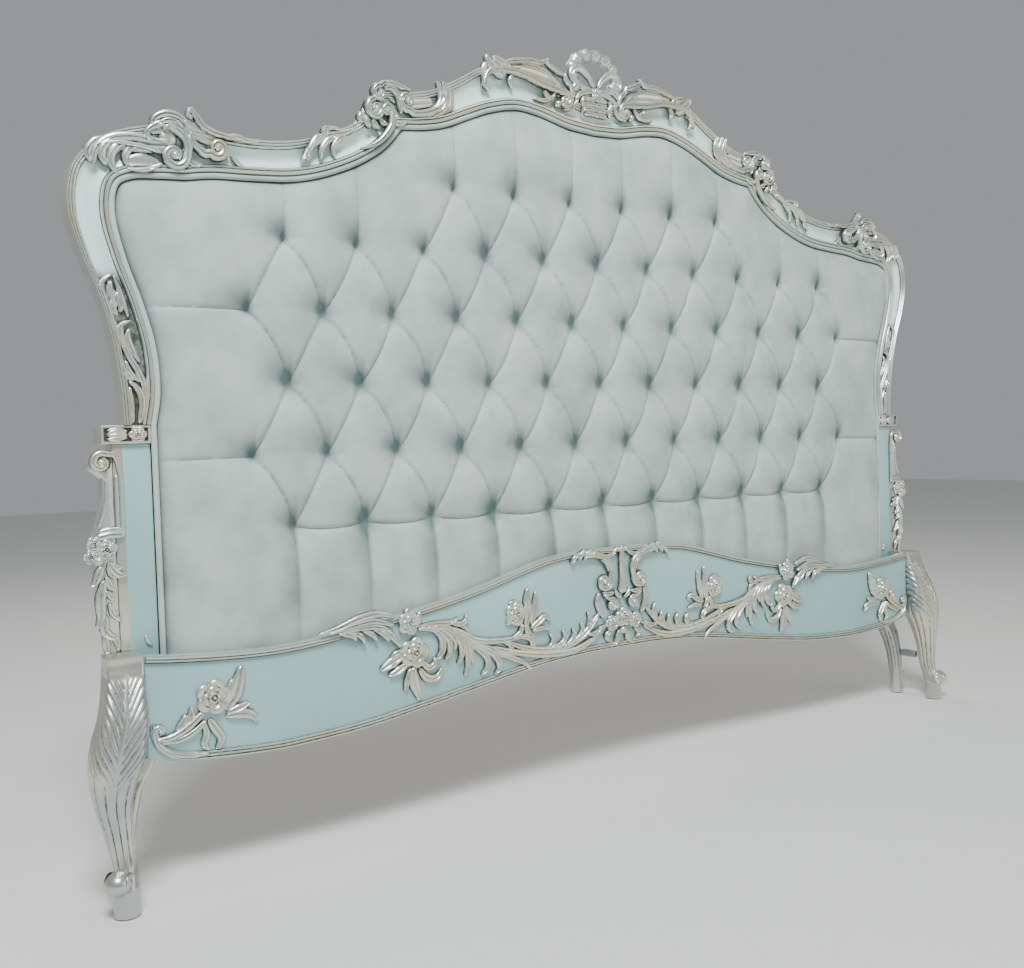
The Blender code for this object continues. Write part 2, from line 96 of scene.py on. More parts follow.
# Each carved mark: its line, its widths along the line, its height, and how far it is lifted.
# A scroll's line ends in a spiral: (centre, radius, starting angle, turns; more than 0 is anticlockwise).
SHOULDER = [
    ([(1016, 612), (988, 634), (935, 640), (884, 642)], [10, 17, 19, 14], 7, 0),
    ([(926, 662), (896, 676), (866, 680), (838, 668), (806, 656)], [10, 19, 19, 17, 12], 8, 0),
    ([(1009, 598), (1006, 622), (984, 641), (950, 649), (912, 647), (890, 650)],
     [4, 10, 12, 11, 9, 5], 12, 0),
    ([(980, 642), (995, 626), (997, 609), (989, 598)], [6, 10, 9, 5], 11, 2),
    ([(958, 640), (978, 626), (984, 605), (974, 586)], [6, 11, 9, 5], 11, 1),
    ([(934, 640), (954, 630), (962, 613), (956, 600)], [5, 9, 8, 4], 9, 0),
    ([(990, 642), (1008, 634), (1019, 616), (1013, 601)], [5, 9, 9, 5], 12, 0),
    ([(1006, 630), (975, 636), (935, 635), (903, 628)], [3, 5, 5, 4], 10, 3),
    ([(905, 612), (930, 611), (960, 608)], [10, 22, 14], 5, 0),
    ([(903, 612), (930, 598), (962, 596)], [4, 6, 3], 9, 2),
    ([(920, 668), (914, 683), (898, 692), (878, 691), (863, 680)], [5, 8, 9, 8, 5], 16, 2),
    ([(911, 666), (905, 676), (893, 682), (878, 680), (868, 672)], [4, 6, 7, 6, 4], 15, 3),
    ([(902, 664), (896, 671), (887, 673), (878, 668)], [3, 5, 5, 3], 14, 3),
    ([(852, 690), (860, 698), (855, 706), (846, 694), (832, 678), (805, 670), (765, 668)],
     [5, 6, 7, 8, 7, 6, 2], 13, 3),
    ([(868, 642), (862, 624), (850, 616), (836, 618)], [4, 8, 7, 2], 11, 0),
    ([(800, 668), (782, 672), (760, 668), (735, 671)], [5, 7, 6, 2], 10, 2),
    ([(790, 640), (776, 628), (765, 622)], [4, 6, 2], 9, 0),
]
SHOULDER_SCROLLS = [
    ([(919, 644), (927, 660), (903, 676), (876, 667), (862, 650)], [5, 9, 10, 10, 9, 5], 14, 2,
     ((884, 627), 24, 180, 1.25)),
    ([(857, 670), (853, 651), (836, 637)], [6, 10, 11, 8], 15, 3, ((813, 648), 19, -40, -1.05)),
]
WING_SPRAY = [
    ([(552, 722), (584, 706), (617, 696), (644, 674), (664, 644)], [3, 8, 10, 9, 4], 10, 2),
    ([(612, 696), (634, 690), (648, 668), (652, 648)], [4, 9, 8, 4], 10, 4),
    ([(594, 700), (614, 688), (625, 670), (626, 654)], [4, 9, 8, 4], 10, 3),
    ([(576, 706), (594, 692), (602, 676), (598, 661)], [4, 9, 7, 4], 9, 1),
]
WING_SCROLLS = [([(584, 710), (602, 712)], [4, 6, 4], 12, 3, ((616, 703), 9, 120, -1.2))]
PEAK = [
    ([(540, 736), (518, 762), (504, 788)], [16, 27, 18], 9, 0),
    ([(486, 790), (440, 786), (392, 794)], [12, 18, 12], 6, 0),
    ([(536, 746), (534, 732), (526, 724)], [5, 9, 4], 13, 2),
    ([(524, 742), (518, 730), (508, 724)], [5, 9, 4], 13, 2),
    ([(544, 752), (548, 740), (544, 730)], [5, 9, 4], 12, 1),
    ([(510, 745), (502, 736), (492, 735)], [5, 8, 4], 12, 2),
    ([(500, 800), (482, 802), (468, 786), (463, 760)], [5, 9, 9, 5], 13, 3),
    ([(384, 834), (376, 808), (382, 786), (404, 770), (432, 763)], [5, 10, 11, 10, 6], 12, 2),
    ([(372, 836), (364, 808), (371, 782), (396, 766)], [5, 10, 10, 6], 12, 2),
    ([(360, 836), (352, 812), (358, 788), (374, 774)], [5, 9, 9, 5], 10, 0),
    ([(478, 750), (474, 741), (462, 741), (448, 750)], [3, 7, 6, 2], 10, 1),
    ([(506, 808), (486, 812), (462, 809), (440, 806)], [4, 8, 7, 3], 12, 2),
]
PEAK_SCROLLS = [
    ([(484, 806), (498, 810)], [5, 8, 7, 5], 16, 3, ((508, 789), 17, 100, -1.2)),
    ([(498, 778), (512, 782)], [5, 9, 9, 5], 15, 4, ((517, 759), 22, 80, -1.3)),
    ([(548, 684), (520, 695), (500, 712), (485, 734)], [3, 7, 9, 9, 8, 5], 14, 2,
     ((493, 760), 14, 210, -1.2)),
    ([(380, 814), (370, 803), (384, 782), (410, 769), (436, 764)], [6, 8, 9, 9, 9, 8, 5], 14, 2,
     ((450, 785), 20, 250, 1.2)),
]
CREST = [
    ([(276, 858), (266, 882), (246, 892)], [12, 18, 12], 9, 0),
    ([(256, 882), (205, 890), (150, 888), (104, 878), (78, 850)], [12, 18, 20, 20, 16], 6, 0),
    ([(228, 868), (250, 880), (266, 893), (272, 906)], [14, 17, 14, 7], 14, 2),
    ([(214, 886), (236, 896), (256, 902)], [9, 13, 7], 14, 2),
    ([(240, 888), (210, 902), (165, 911), (140, 911), (118, 924)], [4, 8, 8, 9, 2], 13, 2),
    ([(130, 917), (114, 908), (98, 901), (82, 895)], [5, 8, 8, 5], 13, 2),
    ([(262, 874), (275, 860), (274, 844), (263, 836)], [5, 9, 8, 2], 11, 1),
    ([(208, 880), (216, 864), (210, 849)], [5, 8, 2], 11, 1),
    ([(60, 852), (64, 872), (78, 886), (82, 902)], [5, 8, 8, 5], 14, 3),
    ([(64, 866), (52, 879), (36, 882)], [4, 13, 4], 12, 5),
    ([(160, 838), (130, 838), (112, 848), (104, 860)], [2, 6, 7, 4], 11, 1),
    ([(134, 858), (124, 846), (112, 842)], [4, 8, 3], 11, 2),
    ([(34, 862), (38, 850), (33, 840), (37, 826)], [4, 7, 7, 4], 13, 4),
    ([(48, 858), (54, 842), (66, 832), (84, 826)], [4, 7, 7, 3], 11, 2),
    ([(5, 883), (18, 902), (40, 917), (58, 913), (63, 898), (50, 886), (28, 878), (6, 877)],
     [6, 9, 11, 12, 11, 10, 8, 6], 9, 6),
    ([(8, 874), (30, 870), (46, 862), (56, 850)], [6, 8, 7, 4], 10, 6),
    ([(0, 857), (14, 858), (32, 857)], [6, 6, 5], 10, 2),
    ([(-2, 848), (14, 848), (30, 847)], [7, 7, 7], 11, 2),
    ([(-2, 838), (14, 838), (30, 837)], [7, 7, 7], 11, 2),
    ([(-2, 828), (14, 828), (30, 827)], [7, 7, 7], 10, 2),
]
CREST_SCROLLS = [
    ([(284, 840), (266, 872), (222, 882), (180, 879), (150, 871), (120, 866), (98, 863)],
     [3, 9, 10, 9, 9, 10, 10, 9, 5], 14, 3, ((80, 845), 18, 90, 1.2)),
]
STILE_LEAF = [
    ([(989, 428), (1005, 414), (1005, 396), (997, 368), (987, 340), (974, 308)], [2, 6, 7, 7, 6, 3], 10, 0),
    ([(988, 426), (981, 408), (974, 385), (967, 358)], [2, 5, 5, 3], 10, 0),
    ([(991, 418), (993, 402), (984, 388), (990, 374), (982, 362)], [3, 9, 12, 10, 3], 7, -2),
    ([(984, 400), (977, 380), (979, 366)], [3, 8, 4], 8, 0),
    ([(962, 354), (979, 346), (979, 325), (969, 298), (955, 272), (946, 246), (943, 212)],
     [2, 7, 7, 7, 7, 6, 3], 10, 0),
    ([(966, 342), (969, 325), (962, 305), (951, 286)], [3, 9, 7, 2], 7, -1),
    ([(986, 318), (984, 290), (974, 264), (960, 258)], [4, 6, 7, 3], 9, 0),
    ([(974, 290), (970, 274), (960, 262), (951, 254)], [3, 7, 6, 2], 7, 0),
    ([(972, 256), (960, 248), (951, 230), (952, 205), (957, 188)], [3, 7, 8, 8, 5], 9, 0),
    ([(970, 248), (967, 220), (967, 188)], [4, 6, 5], 7, 0),
    ([(952, 272), (941, 240), (942, 210), (948, 188)], [3, 6, 7, 5], 9, 0),
]
POST_MARKS = [
    ([(996, 16), (996, 60), (996, 106)], [4, 5, 4], 4, 0),
    ([(988, 16), (1008, 17), (1028, 14)], [5, 7, 6], 7, 0),
    ([(988, 8), (1010, 9), (1032, 5)], [6, 9, 8], 9, 0),
    ([(1012, 100), (1012, 72), (1017, 46), (1026, 21)], [3, 4, 4, 4], 4, -1),
    ([(1014, -34), (1008, -46), (998, -56), (986, -57)], [6, 10, 9, 3], 9, 1),
    ([(1010, -36), (1002, -44), (992, -44)], [5, 8, 3], 8, 2),
    ([(1016, -40), (1010, -54), (1002, -64)], [5, 8, 3], 9, 0),
    ([(1023, -38), (1030, -54), (1036, -67), (1044, -71)], [6, 10, 8, 3], 9, 1),
    ([(1019, -56), (1012, -74), (1003, -84)], [5, 8, 2], 8, 1),
    ([(1022, -62), (1028, -94), (1028, -120), (1035, -140)], [6, 12, 11, 3], 9, 0),
    ([(1018, -80), (1012, -92), (1006, -98)], [5, 7, 2], 8, 2),
    ([(1016, -100), (1010, -118), (998, -133)], [4, 8, 2], 8, 1),
    ([(1021, -118), (1024, -142), (1016, -154), (1004, -158)], [6, 11, 10, 3], 9, 0),
    ([(1014, -150), (1006, -164), (1003, -180)], [5, 8, 3], 7, 0),
    ([(1024, -150), (1022, -170), (1020, -184)], [6, 9, 5], 7, 0),
    ([(950, -178), (957, -172), (961, -160)], [3, 6, 3], 4, 0),
]
POST_SCROLLS = [([(990, 3), (989, 60), (990, 108), (997, 136)], [5, 5, 5, 6, 8, 6], 8, 0,
                 ((1018, 126), 19, 130, -1.2))]
TOP_LEAF = [
    ([(686, -187), (650, -180), (605, -167), (568, -163), (536, -172)], [2, 7, 10, 10, 5], 9, 4),
    ([(668, -188), (622, -179), (578, -175), (540, -188)], [2, 7, 8, 5], 11, 5),
    ([(650, -190), (604, -185), (565, -188), (541, -204)], [2, 6, 8, 4], 10, 5),
    ([(648, -190), (626, -194), (612, -206)], [3, 8, 3], 9, 4),
    ([(628, -190), (606, -198), (597, -215)], [3, 8, 3], 9, 4),
    ([(604, -189), (584, -198), (572, -213)], [3, 8, 3], 9, 4),
    ([(582, -189), (563, -198), (548, -216)], [3, 9, 3], 9, 4),
    ([(560, -192), (544, -206), (526, -230)], [3, 9, 3], 9, 3),
    ([(500, -196), (488, -180), (484, -168)], [6, 10, 3], 8, 4),
    ([(514, -178), (512, -168), (508, -158)], [6, 10, 3], 8, 5),
]
OUTER_SPRAY = [
    ([(518, -246), (542, -256), (568, -268)], [7, 15, 3], 10, 0),
    ([(512, -262), (534, -274), (552, -279)], [6, 12, 3], 10, 1),
    ([(520, -236), (538, -243), (546, -254)], [5, 9, 3], 9, 0),
    ([(500, -270), (498, -302), (487, -334)], [7, 16, 3], 10, 0),
    ([(506, -272), (514, -296), (519, -314)], [6, 10, 3], 9, 1),
    ([(488, -274), (474, -294), (452, -298), (438, -280)], [6, 11, 10, 3], 9, 0),
    ([(484, -262), (470, -276), (458, -272), (455, -258)], [5, 9, 8, 3], 9, 2),
    ([(500, -216), (490, -228), (478, -236)], [6, 11, 5], 9, 1),
    ([(490, -197), (455, -196), (420, -198), (398, -190)], [3, 7, 9, 4], 9, 0),
    ([(420, -198), (396, -203), (384, -196), (386, -186)], [4, 8, 8, 3], 9, 1),
    ([(404, -204), (388, -210), (380, -222)], [4, 7, 2], 8, 0),
    ([(490, -201), (458, -206), (440, -222), (438, -246), (452, -266)], [3, 7, 9, 10, 4], 10, 1),
    ([(484, -200), (446, -208), (425, -228), (423, -252), (433, -268)], [3, 7, 9, 9, 3], 11, 1),
    ([(470, -200), (430, -211), (411, -232), (413, -252)], [3, 7, 9, 3], 11, 2),
    ([(456, -200), (416, -213), (398, -240), (397, -262), (406, -279)], [3, 8, 10, 10, 3], 11, 1),
    ([(440, -203), (403, -217), (386, -246), (383, -280), (390, -305)], [3, 8, 10, 9, 3], 10, 0),
    ([(412, -210), (386, -229), (375, -256), (373, -284)], [3, 7, 8, 2], 9, 0),
    ([(442, -203), (400, -218), (360, -239), (300, -247), (236, -243)], [6, 9, 9, 8, 4], 9, 1),
    ([(402, -226), (362, -250), (322, -270), (284, -282)], [4, 8, 9, 5], 9, 0),
]
INNER_SPRAY = [
    ([(386, -238), (353, -262), (338, -280), (341, -297), (354, -309)], [3, 7, 9, 10, 4], 10, 0),
    ([(372, -240), (334, -264), (315, -284), (313, -301), (324, -312)], [3, 8, 10, 10, 3], 10, 1),
    ([(350, -248), (318, -266), (280, -285), (250, -301), (236, -317)], [3, 8, 9, 7, 2], 9, 0),
    ([(330, -256), (280, -273), (220, -286), (160, -291), (110, -286), (56, -262)],
     [5, 9, 11, 11, 10, 5], 9, 0),
    ([(300, -249), (250, -269), (200, -279), (150, -278), (112, -266), (80, -240), (62, -220)],
     [4, 8, 9, 9, 10, 10, 4], 10, 1),
    ([(218, -278), (191, -276), (181, -262), (190, -249)], [4, 9, 9, 3], 10, 1),
    ([(186, -279), (162, -273), (152, -259), (159, -246)], [4, 9, 8, 3], 10, 1),
    ([(160, -279), (139, -272), (129, -257), (133, -244)], [4, 8, 8, 3], 10, 1),
    ([(140, -276), (117, -266), (107, -250), (111, -236)], [4, 9, 8, 3], 10, 1),
    ([(112, -268), (93, -252), (87, -232), (93, -215)], [4, 9, 9, 3], 10, 1),
    ([(96, -262), (76, -262), (58, -252)], [4, 8, 4], 10, 2),
    ([(304, -249), (288, -256), (283, -267), (293, -273)], [4, 8, 8, 3], 9, 1),
    ([(264, -246), (240, -251), (231, -266), (241, -277)], [4, 8, 9, 3], 9, 1),
]
UPPER_SPRAY = [
    ([(247, -228), (240, -196), (243, -175), (240, -150)], [6, 14, 12, 3], 10, 0),
    ([(233, -226), (226, -196), (222, -174), (221, -158)], [5, 12, 9, 2], 9, 0),
    ([(236, -232), (216, -222), (200, -212), (187, -222)], [5, 10, 9, 3], 9, 0),
    ([(232, -238), (206, -235), (188, -241)], [5, 8, 2], 8, 1),
    ([(262, -222), (281, -214), (294, -219)], [5, 9, 3], 8, 0),
    ([(256, -186), (270, -178), (286, -176)], [5, 10, 3], 8, 0),
    ([(254, -220), (262, -238), (280, -246)], [6, 8, 5], 9, 0),
    ([(248, -222), (244, -236), (236, -244)], [6, 9, 4], 9, 1),
]
LEG_SPRAY = [
    ([(852, -292), (836, -268), (828, -246), (821, -220)], [7, 16, 15, 3], 10, 0),
    ([(852, -278), (843, -258), (839, -240)], [5, 10, 3], 9, 1),
    ([(850, -296), (828, -292), (810, -284)], [6, 12, 3], 9, 0),
    ([(852, -302), (828, -301), (808, -306), (798, -320)], [6, 11, 12, 3], 9, 0),
    ([(965, -321), (940, -320), (914, -308), (888, -288)], [5, 8, 9, 7], 10, 1),
    ([(958, -327), (930, -327), (905, -318), (884, -302)], [4, 7, 8, 5], 9, 0),
    ([(934, -312), (922, -300), (917, -286)], [4, 9, 3], 9, 0),
    ([(918, -304), (908, -290), (907, -275)], [4, 9, 3], 9, 0),
    ([(880, -300), (870, -318), (860, -336), (869, -354)], [6, 11, 10, 3], 10, 0),
    ([(888, -306), (884, -326), (889, -340), (880, -353)], [5, 8, 8, 3], 9, 0),
]
LEG_SCROLLS = [([(880, -356), (905, -357), (944, -346), (962, -328)], [4, 6, 7, 7, 5], 8, 0,
                ((958, -308), 11, -30, 1.0))]
CARTOUCHE = [
    ([(132, -114), (124, -101), (113, -93)], [3, 8, 3], 10, 2),
    ([(114, -108), (107, -95), (98, -84)], [3, 8, 3], 10, 3),
    ([(100, -108), (92, -95), (82, -85)], [3, 8, 3], 10, 3),
    ([(86, -106), (77, -95), (66, -88)], [3, 7, 3], 9, 2),
    ([(129, -101), (97, -93), (66, -98), (40, -106), (20, -98), (10, -86)], [3, 9, 9, 8, 7, 3], 10, 1),
    ([(56, -110), (42, -120), (36, -138)], [3, 5, 3], 9, 3),
    ([(60, -178), (66, -200), (59, -220), (50, -234)], [5, 10, 9, 3], 10, 0),
    ([(22, -182), (36, -184), (54, -179)], [4, 8, 4], 10, 2),
    ([(9, -262), (14, -280), (23, -295)], [6, 11, 3], 10, 0),
    ([(30, -260), (44, -272), (36, -286)], [6, 9, 3], 10, 0),
    ([(46, -250), (62, -256), (60, -268)], [6, 8, 3], 10, 0),
    ([(4, -196), (14, -188), (20, -176)], [4, 8, 3], 10, 2),
    ([(0, -86), (1, -120), (1, -160), (3, -186)], [5, 9, 8, 14], 10, 3),
]
CARTOUCHE_SCROLLS = [
    ([(92, -101), (62, -102), (39, -111), (28, -130)], [4, 8, 9, 9, 8, 5], 11, 3,
     ((48, -157), 20, 165, 1.35)),
    ([(52, -184), (44, -190)], [4, 7, 6, 4], 10, 3, ((30, -207), 15, 70, 1.3)),
]


# ---------------------------------------------------------------- settings
def linear(hex_colour):
    """The linear colour that an sRGB hex value stands for."""
    values = [int(hex_colour[i:i + 2], 16) / 255 for i in (1, 3, 5)]
    return tuple(v / 12.92 if v <= 0.04045 else ((v + 0.055) / 1.055) ** 2.4 for v in values)


def colour_property(name, description, hex_colour):
    return bpy.props.FloatVectorProperty(name=name, description=description, subtype="COLOR", size=3,
                                         min=0, max=1, default=linear(hex_colour))


def length_property(name, description, default):
    return bpy.props.FloatProperty(name=name, description=description, default=default, min=0,
                                   unit="LENGTH", precision=4)


class BedUpholsterySettings(bpy.types.PropertyGroup):
    """The tufted panel."""
    puff: length_property("Puff", "How far the padding swells out of its frame", 0.0235)
    pinch: length_property("Pinch", "How far a button is drawn in behind the frame's front plane", 0.0040)
    welt_radius: length_property("Welt radius", "Radius of the corded welt round the panel", 0.0049)
    velvet: colour_property("Velvet", "Colour of the velvet's lit pile", "#BECBC6")
    # painted shade: the colour the pile is darkened to in its folds, its button pits and its shaded patches
    velvet_painted_shade: colour_property("Velvet shade", "Colour of the pile in its folds", "#627675")


class BedFinishSettings(bpy.types.PropertyGroup):
    """The leafed and lacquered woodwork."""
    relief: bpy.props.FloatProperty(name="Relief", description="Scale of the carving's height",
                                    default=1.0, min=0.2, max=1.4)
    fullness: bpy.props.FloatProperty(name="Fullness", description="Scale of the carved strokes' width",
                                      default=1.6, min=0.5, max=2.0)
    silver: colour_property("Silver leaf", "Colour of the leafed high spots", "#D9E0DC")
    champagne: colour_property("Champagne", "Warmer colour that the leaf drifts to", "#DFDDCC")
    glaze: colour_property("Glaze", "Dark wash left in the carving's hollows", "#4E5A56")
    mint: colour_property("Mint lacquer", "Colour of the footboard and the posts", "#A4CFD2")
    cove: colour_property("Cove", "Paler mint washed over the leaf in the frame's cove", "#E0FBF6")
    leg_silver: colour_property("Leg silver", "Colour of the legs' darker leaf", "#B9BDBD")


def settings():
    return bpy.context.scene.bed_upholstery, bpy.context.scene.bed_finish


# ---------------------------------------------------------------- materials
def add_node(material, kind, values=None, links=None, **attributes):
    """Adds a node to a material, sets its attributes and its sockets, and links sockets into it."""
    node = material.node_tree.nodes.new(kind)
    for key, value in attributes.items():
        setattr(node, key, value)
    for key, value in (values or {}).items():
        node.inputs[key].default_value = value
    for key, socket in (links or {}).items():
        material.node_tree.links.new(socket, node.inputs[key])
    return node


def blank_material(name):
    material = bpy.data.materials.new(name)
    material.use_nodes = True
    material.node_tree.nodes.clear()
    return material


def close_material(material, shader):
    add_node(material, "ShaderNodeOutputMaterial", links={"Surface": shader.outputs[0]})
    return material


def velvet_material():
    """Cotton velvet, cut pile: a soft halo at grazing angles, cloudy nap, and painted shade in the folds, in
    the button pits and beside the buttons.
    """
    if "cotton_velvet_cut_pile" in bpy.data.materials:
        return bpy.data.materials["cotton_velvet_cut_pile"]
    cloth, _ = settings()
    m = blank_material("cotton_velvet_cut_pile")
    place = add_node(m, "ShaderNodeTexCoord").outputs["Object"]
    tone = add_node(m, "ShaderNodeAttribute", attribute_name="tone")
    relief = add_node(m, "ShaderNodeSeparateXYZ", links={0: tone.outputs["Vector"]})
    # nap brushed in patches about 90 mm across, and pile tufts drawn at 2 mm, coarser than life;
    # tone's x is how far the padding has risen, which also gives painted shade in the folds, and its y is
    # painted shade beside the buttons, along the welt and by the lower seams
    nap = add_node(m, "ShaderNodeTexNoise", {"Scale": 11.0, "Detail": 3.0, "Roughness": 0.6},
                   {"Vector": place})
    pile = add_node(m, "ShaderNodeTexNoise", {"Scale": 500.0, "Detail": 1.0}, {"Vector": place})
    # painted shade: where the padding sinks into creases, button pits and the roll at the welt, the pile is
    # mixed towards the shade colour
    fold = add_node(m, "ShaderNodeMapRange",
                    {"From Min": 0.02, "From Max": 0.45, "To Min": 0.42, "To Max": 1.0},
                    {"Value": relief.outputs[0]})
    cloud = add_node(m, "ShaderNodeMapRange",
                     {"From Min": 0.3, "From Max": 0.7, "To Min": -0.34, "To Max": 0.10},
                     {"Value": nap.outputs["Fac"]})
    # painted shade: the tone's y darkens the pile where shadow would fall
    painted_shade = add_node(m, "ShaderNodeMath", {1: -0.78}, {0: relief.outputs[1]}, operation="MULTIPLY")
    nap_and_painted_shade = add_node(m, "ShaderNodeMath", links={0: cloud.outputs[0], 1: painted_shade.outputs[0]}, operation="ADD")
    lit = add_node(m, "ShaderNodeMath", links={0: fold.outputs[0], 1: nap_and_painted_shade.outputs[0]}, operation="ADD",
                   use_clamp=True)
    base = add_node(m, "ShaderNodeMix", links={"Factor": lit.outputs[0]}, data_type="RGBA")
    base.inputs[6].default_value = (*cloth.velvet_painted_shade, 1)
    base.inputs[7].default_value = (*cloth.velvet, 1)
    bump = add_node(m, "ShaderNodeBump", {"Strength": 0.25, "Distance": 0.0006},
                    {"Height": pile.outputs["Fac"]})
    shader = add_node(m, "ShaderNodeBsdfPrincipled",
                      {"Roughness": 0.9, "Sheen Weight": 0.55, "Sheen Roughness": 0.35,
                       "Sheen Tint": (0.90, 0.94, 0.92, 1), "Specular IOR Level": 0.15},
                      {"Base Color": base.outputs[2], "Normal": bump.outputs[0]})
    return close_material(m, shader)


def leaf_material(name, leaf, metallic, roughness):
    """Silver leaf on gesso, glazed and rubbed back: broken soft gloss, with dark wash in the hollows."""
    if name in bpy.data.materials:
        return bpy.data.materials[name]
    _, finish = settings()
    m = blank_material(name)
    place = add_node(m, "ShaderNodeTexCoord").outputs["Object"]
    tone = add_node(m, "ShaderNodeAttribute", attribute_name="tone")
    parts = add_node(m, "ShaderNodeSeparateXYZ", links={0: tone.outputs["Vector"]})
    # the leaf's warmth drifts over about 120 mm, and its glaze is broken up at about 9 mm
    drift = add_node(m, "ShaderNodeTexNoise", {"Scale": 8.0, "Detail": 2.0}, {"Vector": place})
    speck = add_node(m, "ShaderNodeTexNoise", {"Scale": 110.0, "Detail": 4.0, "Roughness": 0.65},
                     {"Vector": place})
    warmth = add_node(m, "ShaderNodeMapRange", {"From Min": 0.42, "From Max": 0.62},
                      {"Value": drift.outputs["Fac"]})
    metal = add_node(m, "ShaderNodeMix", links={"Factor": warmth.outputs[0]}, data_type="RGBA")
    metal.inputs[6].default_value = (*leaf, 1)
    metal.inputs[7].default_value = (*finish.champagne, 1)
    broken = add_node(m, "ShaderNodeMapRange",
                      {"From Min": 0.3, "From Max": 0.7, "To Min": -0.18, "To Max": 0.18},
                      {"Value": speck.outputs["Fac"]})
    rubbed = add_node(m, "ShaderNodeMath", links={0: parts.outputs[0], 1: broken.outputs[0]}, operation="ADD")
    bare = add_node(m, "ShaderNodeMapRange", {"From Min": 0.12, "From Max": 0.62},
                    {"Value": rubbed.outputs[0]}, interpolation_type="SMOOTHSTEP")
    worked = add_node(m, "ShaderNodeMix", links={"Factor": bare.outputs[0], 7: metal.outputs[2]},
                      data_type="RGBA")
    worked.inputs[6].default_value = (*finish.glaze, 1)
    tinted = add_node(m, "ShaderNodeMix", links={"Factor": parts.outputs[1], 6: worked.outputs[2]},
                      data_type="RGBA")
    tinted.inputs[7].default_value = (*finish.cove, 1)
    sheen = add_node(m, "ShaderNodeMapRange", {"To Min": metallic, "To Max": 0.1},
                     {"Value": parts.outputs[1]})
    gloss = add_node(m, "ShaderNodeMapRange", {"To Min": roughness + 0.22, "To Max": roughness},
                     {"Value": bare.outputs[0]})
    bump = add_node(m, "ShaderNodeBump", {"Strength": 0.22, "Distance": 0.0008},
                    {"Height": speck.outputs["Fac"]})
    shader = add_node(m, "ShaderNodeBsdfPrincipled", {},
                      {"Base Color": tinted.outputs[2], "Metallic": sheen.outputs[0],
                       "Roughness": gloss.outputs[0], "Normal": bump.outputs[0]})
    return close_material(m, shader)


def frame_silver():
    _, finish = settings()
    return leaf_material("silver_leaf_glazed", finish.silver, 0.80, 0.30)


def leg_silver():
    _, finish = settings()
    return leaf_material("silver_leaf_aged", finish.leg_silver, 0.85, 0.30)


def lacquer_material():
    """Mint cellulose lacquer, sprayed and rubbed with a pearl wax: satin, with slow cloudy drift."""
    if "mint_lacquer_satin" in bpy.data.materials:
        return bpy.data.materials["mint_lacquer_satin"]
    _, finish = settings()
    m = blank_material("mint_lacquer_satin")
    place = add_node(m, "ShaderNodeTexCoord").outputs["Object"]
    drift = add_node(m, "ShaderNodeTexNoise", {"Scale": 3.2, "Detail": 3.0, "Roughness": 0.55},
                     {"Vector": place})
    brushed = add_node(m, "ShaderNodeMapping", {"Scale": (6.0, 60.0, 220.0)}, {"Vector": place})
    strokes = add_node(m, "ShaderNodeTexNoise", {"Scale": 1.0, "Detail": 2.0}, {"Vector": brushed.outputs[0]})
    shade = add_node(m, "ShaderNodeMapRange", {"From Min": 0.3, "From Max": 0.7},
                     {"Value": drift.outputs["Fac"]})
    base = add_node(m, "ShaderNodeMix", links={"Factor": shade.outputs[0]}, data_type="RGBA")
    base.inputs[6].default_value = (*(v * 0.80 for v in finish.mint), 1)
    base.inputs[7].default_value = (*finish.mint, 1)
    bump = add_node(m, "ShaderNodeBump", {"Strength": 0.10, "Distance": 0.0004},
                    {"Height": strokes.outputs["Fac"]})
    shader = add_node(m, "ShaderNodeBsdfPrincipled",
                      {"Roughness": 0.36, "Metallic": 0.12, "Coat Weight": 0.25, "Coat Roughness": 0.25},
                      {"Base Color": base.outputs[2], "Normal": bump.outputs[0]})
    return close_material(m, shader)


def timber_material():
    """Stained softwood, planed: brown grain lines about 6 mm apart that run along the bed's width."""
    m = blank_material("stained_softwood_planed")
    place = add_node(m, "ShaderNodeTexCoord").outputs["Object"]
    along = add_node(m, "ShaderNodeMapping", {"Scale": (1.2, 26.0, 26.0)}, {"Vector": place})
    grain = add_node(m, "ShaderNodeTexNoise", {"Scale": 6.0, "Detail": 5.0, "Distortion": 0.5},
                     {"Vector": along.outputs[0]})
    base = add_node(m, "ShaderNodeMix", links={"Factor": grain.outputs["Fac"]}, data_type="RGBA")
    base.inputs[6].default_value = (*linear("#3A2A1D"), 1)
    base.inputs[7].default_value = (*linear("#8A6A48"), 1)
    bump = add_node(m, "ShaderNodeBump", {"Strength": 0.3, "Distance": 0.0005},
                    {"Height": grain.outputs["Fac"]})
    shader = add_node(m, "ShaderNodeBsdfPrincipled", {"Roughness": 0.62},
                      {"Base Color": base.outputs[2], "Normal": bump.outputs[0]})
    return close_material(m, shader)


def steel_material():
    """Zinc-plated steel, pressed: pale grey metal with faint spangle about 4 mm across."""
    m = blank_material("zinc_plated_steel")
    place = add_node(m, "ShaderNodeTexCoord").outputs["Object"]
    spangle = add_node(m, "ShaderNodeTexVoronoi", {"Scale": 250.0}, {"Vector": place})
    rough = add_node(m, "ShaderNodeMapRange", {"To Min": 0.32, "To Max": 0.46},
                     {"Value": spangle.outputs["Distance"]})
    shader = add_node(m, "ShaderNodeBsdfPrincipled", {"Metallic": 1.0, "Base Color": (*linear("#B4B8BA"), 1)},
                      {"Roughness": rough.outputs[0]})
    return close_material(m, shader)


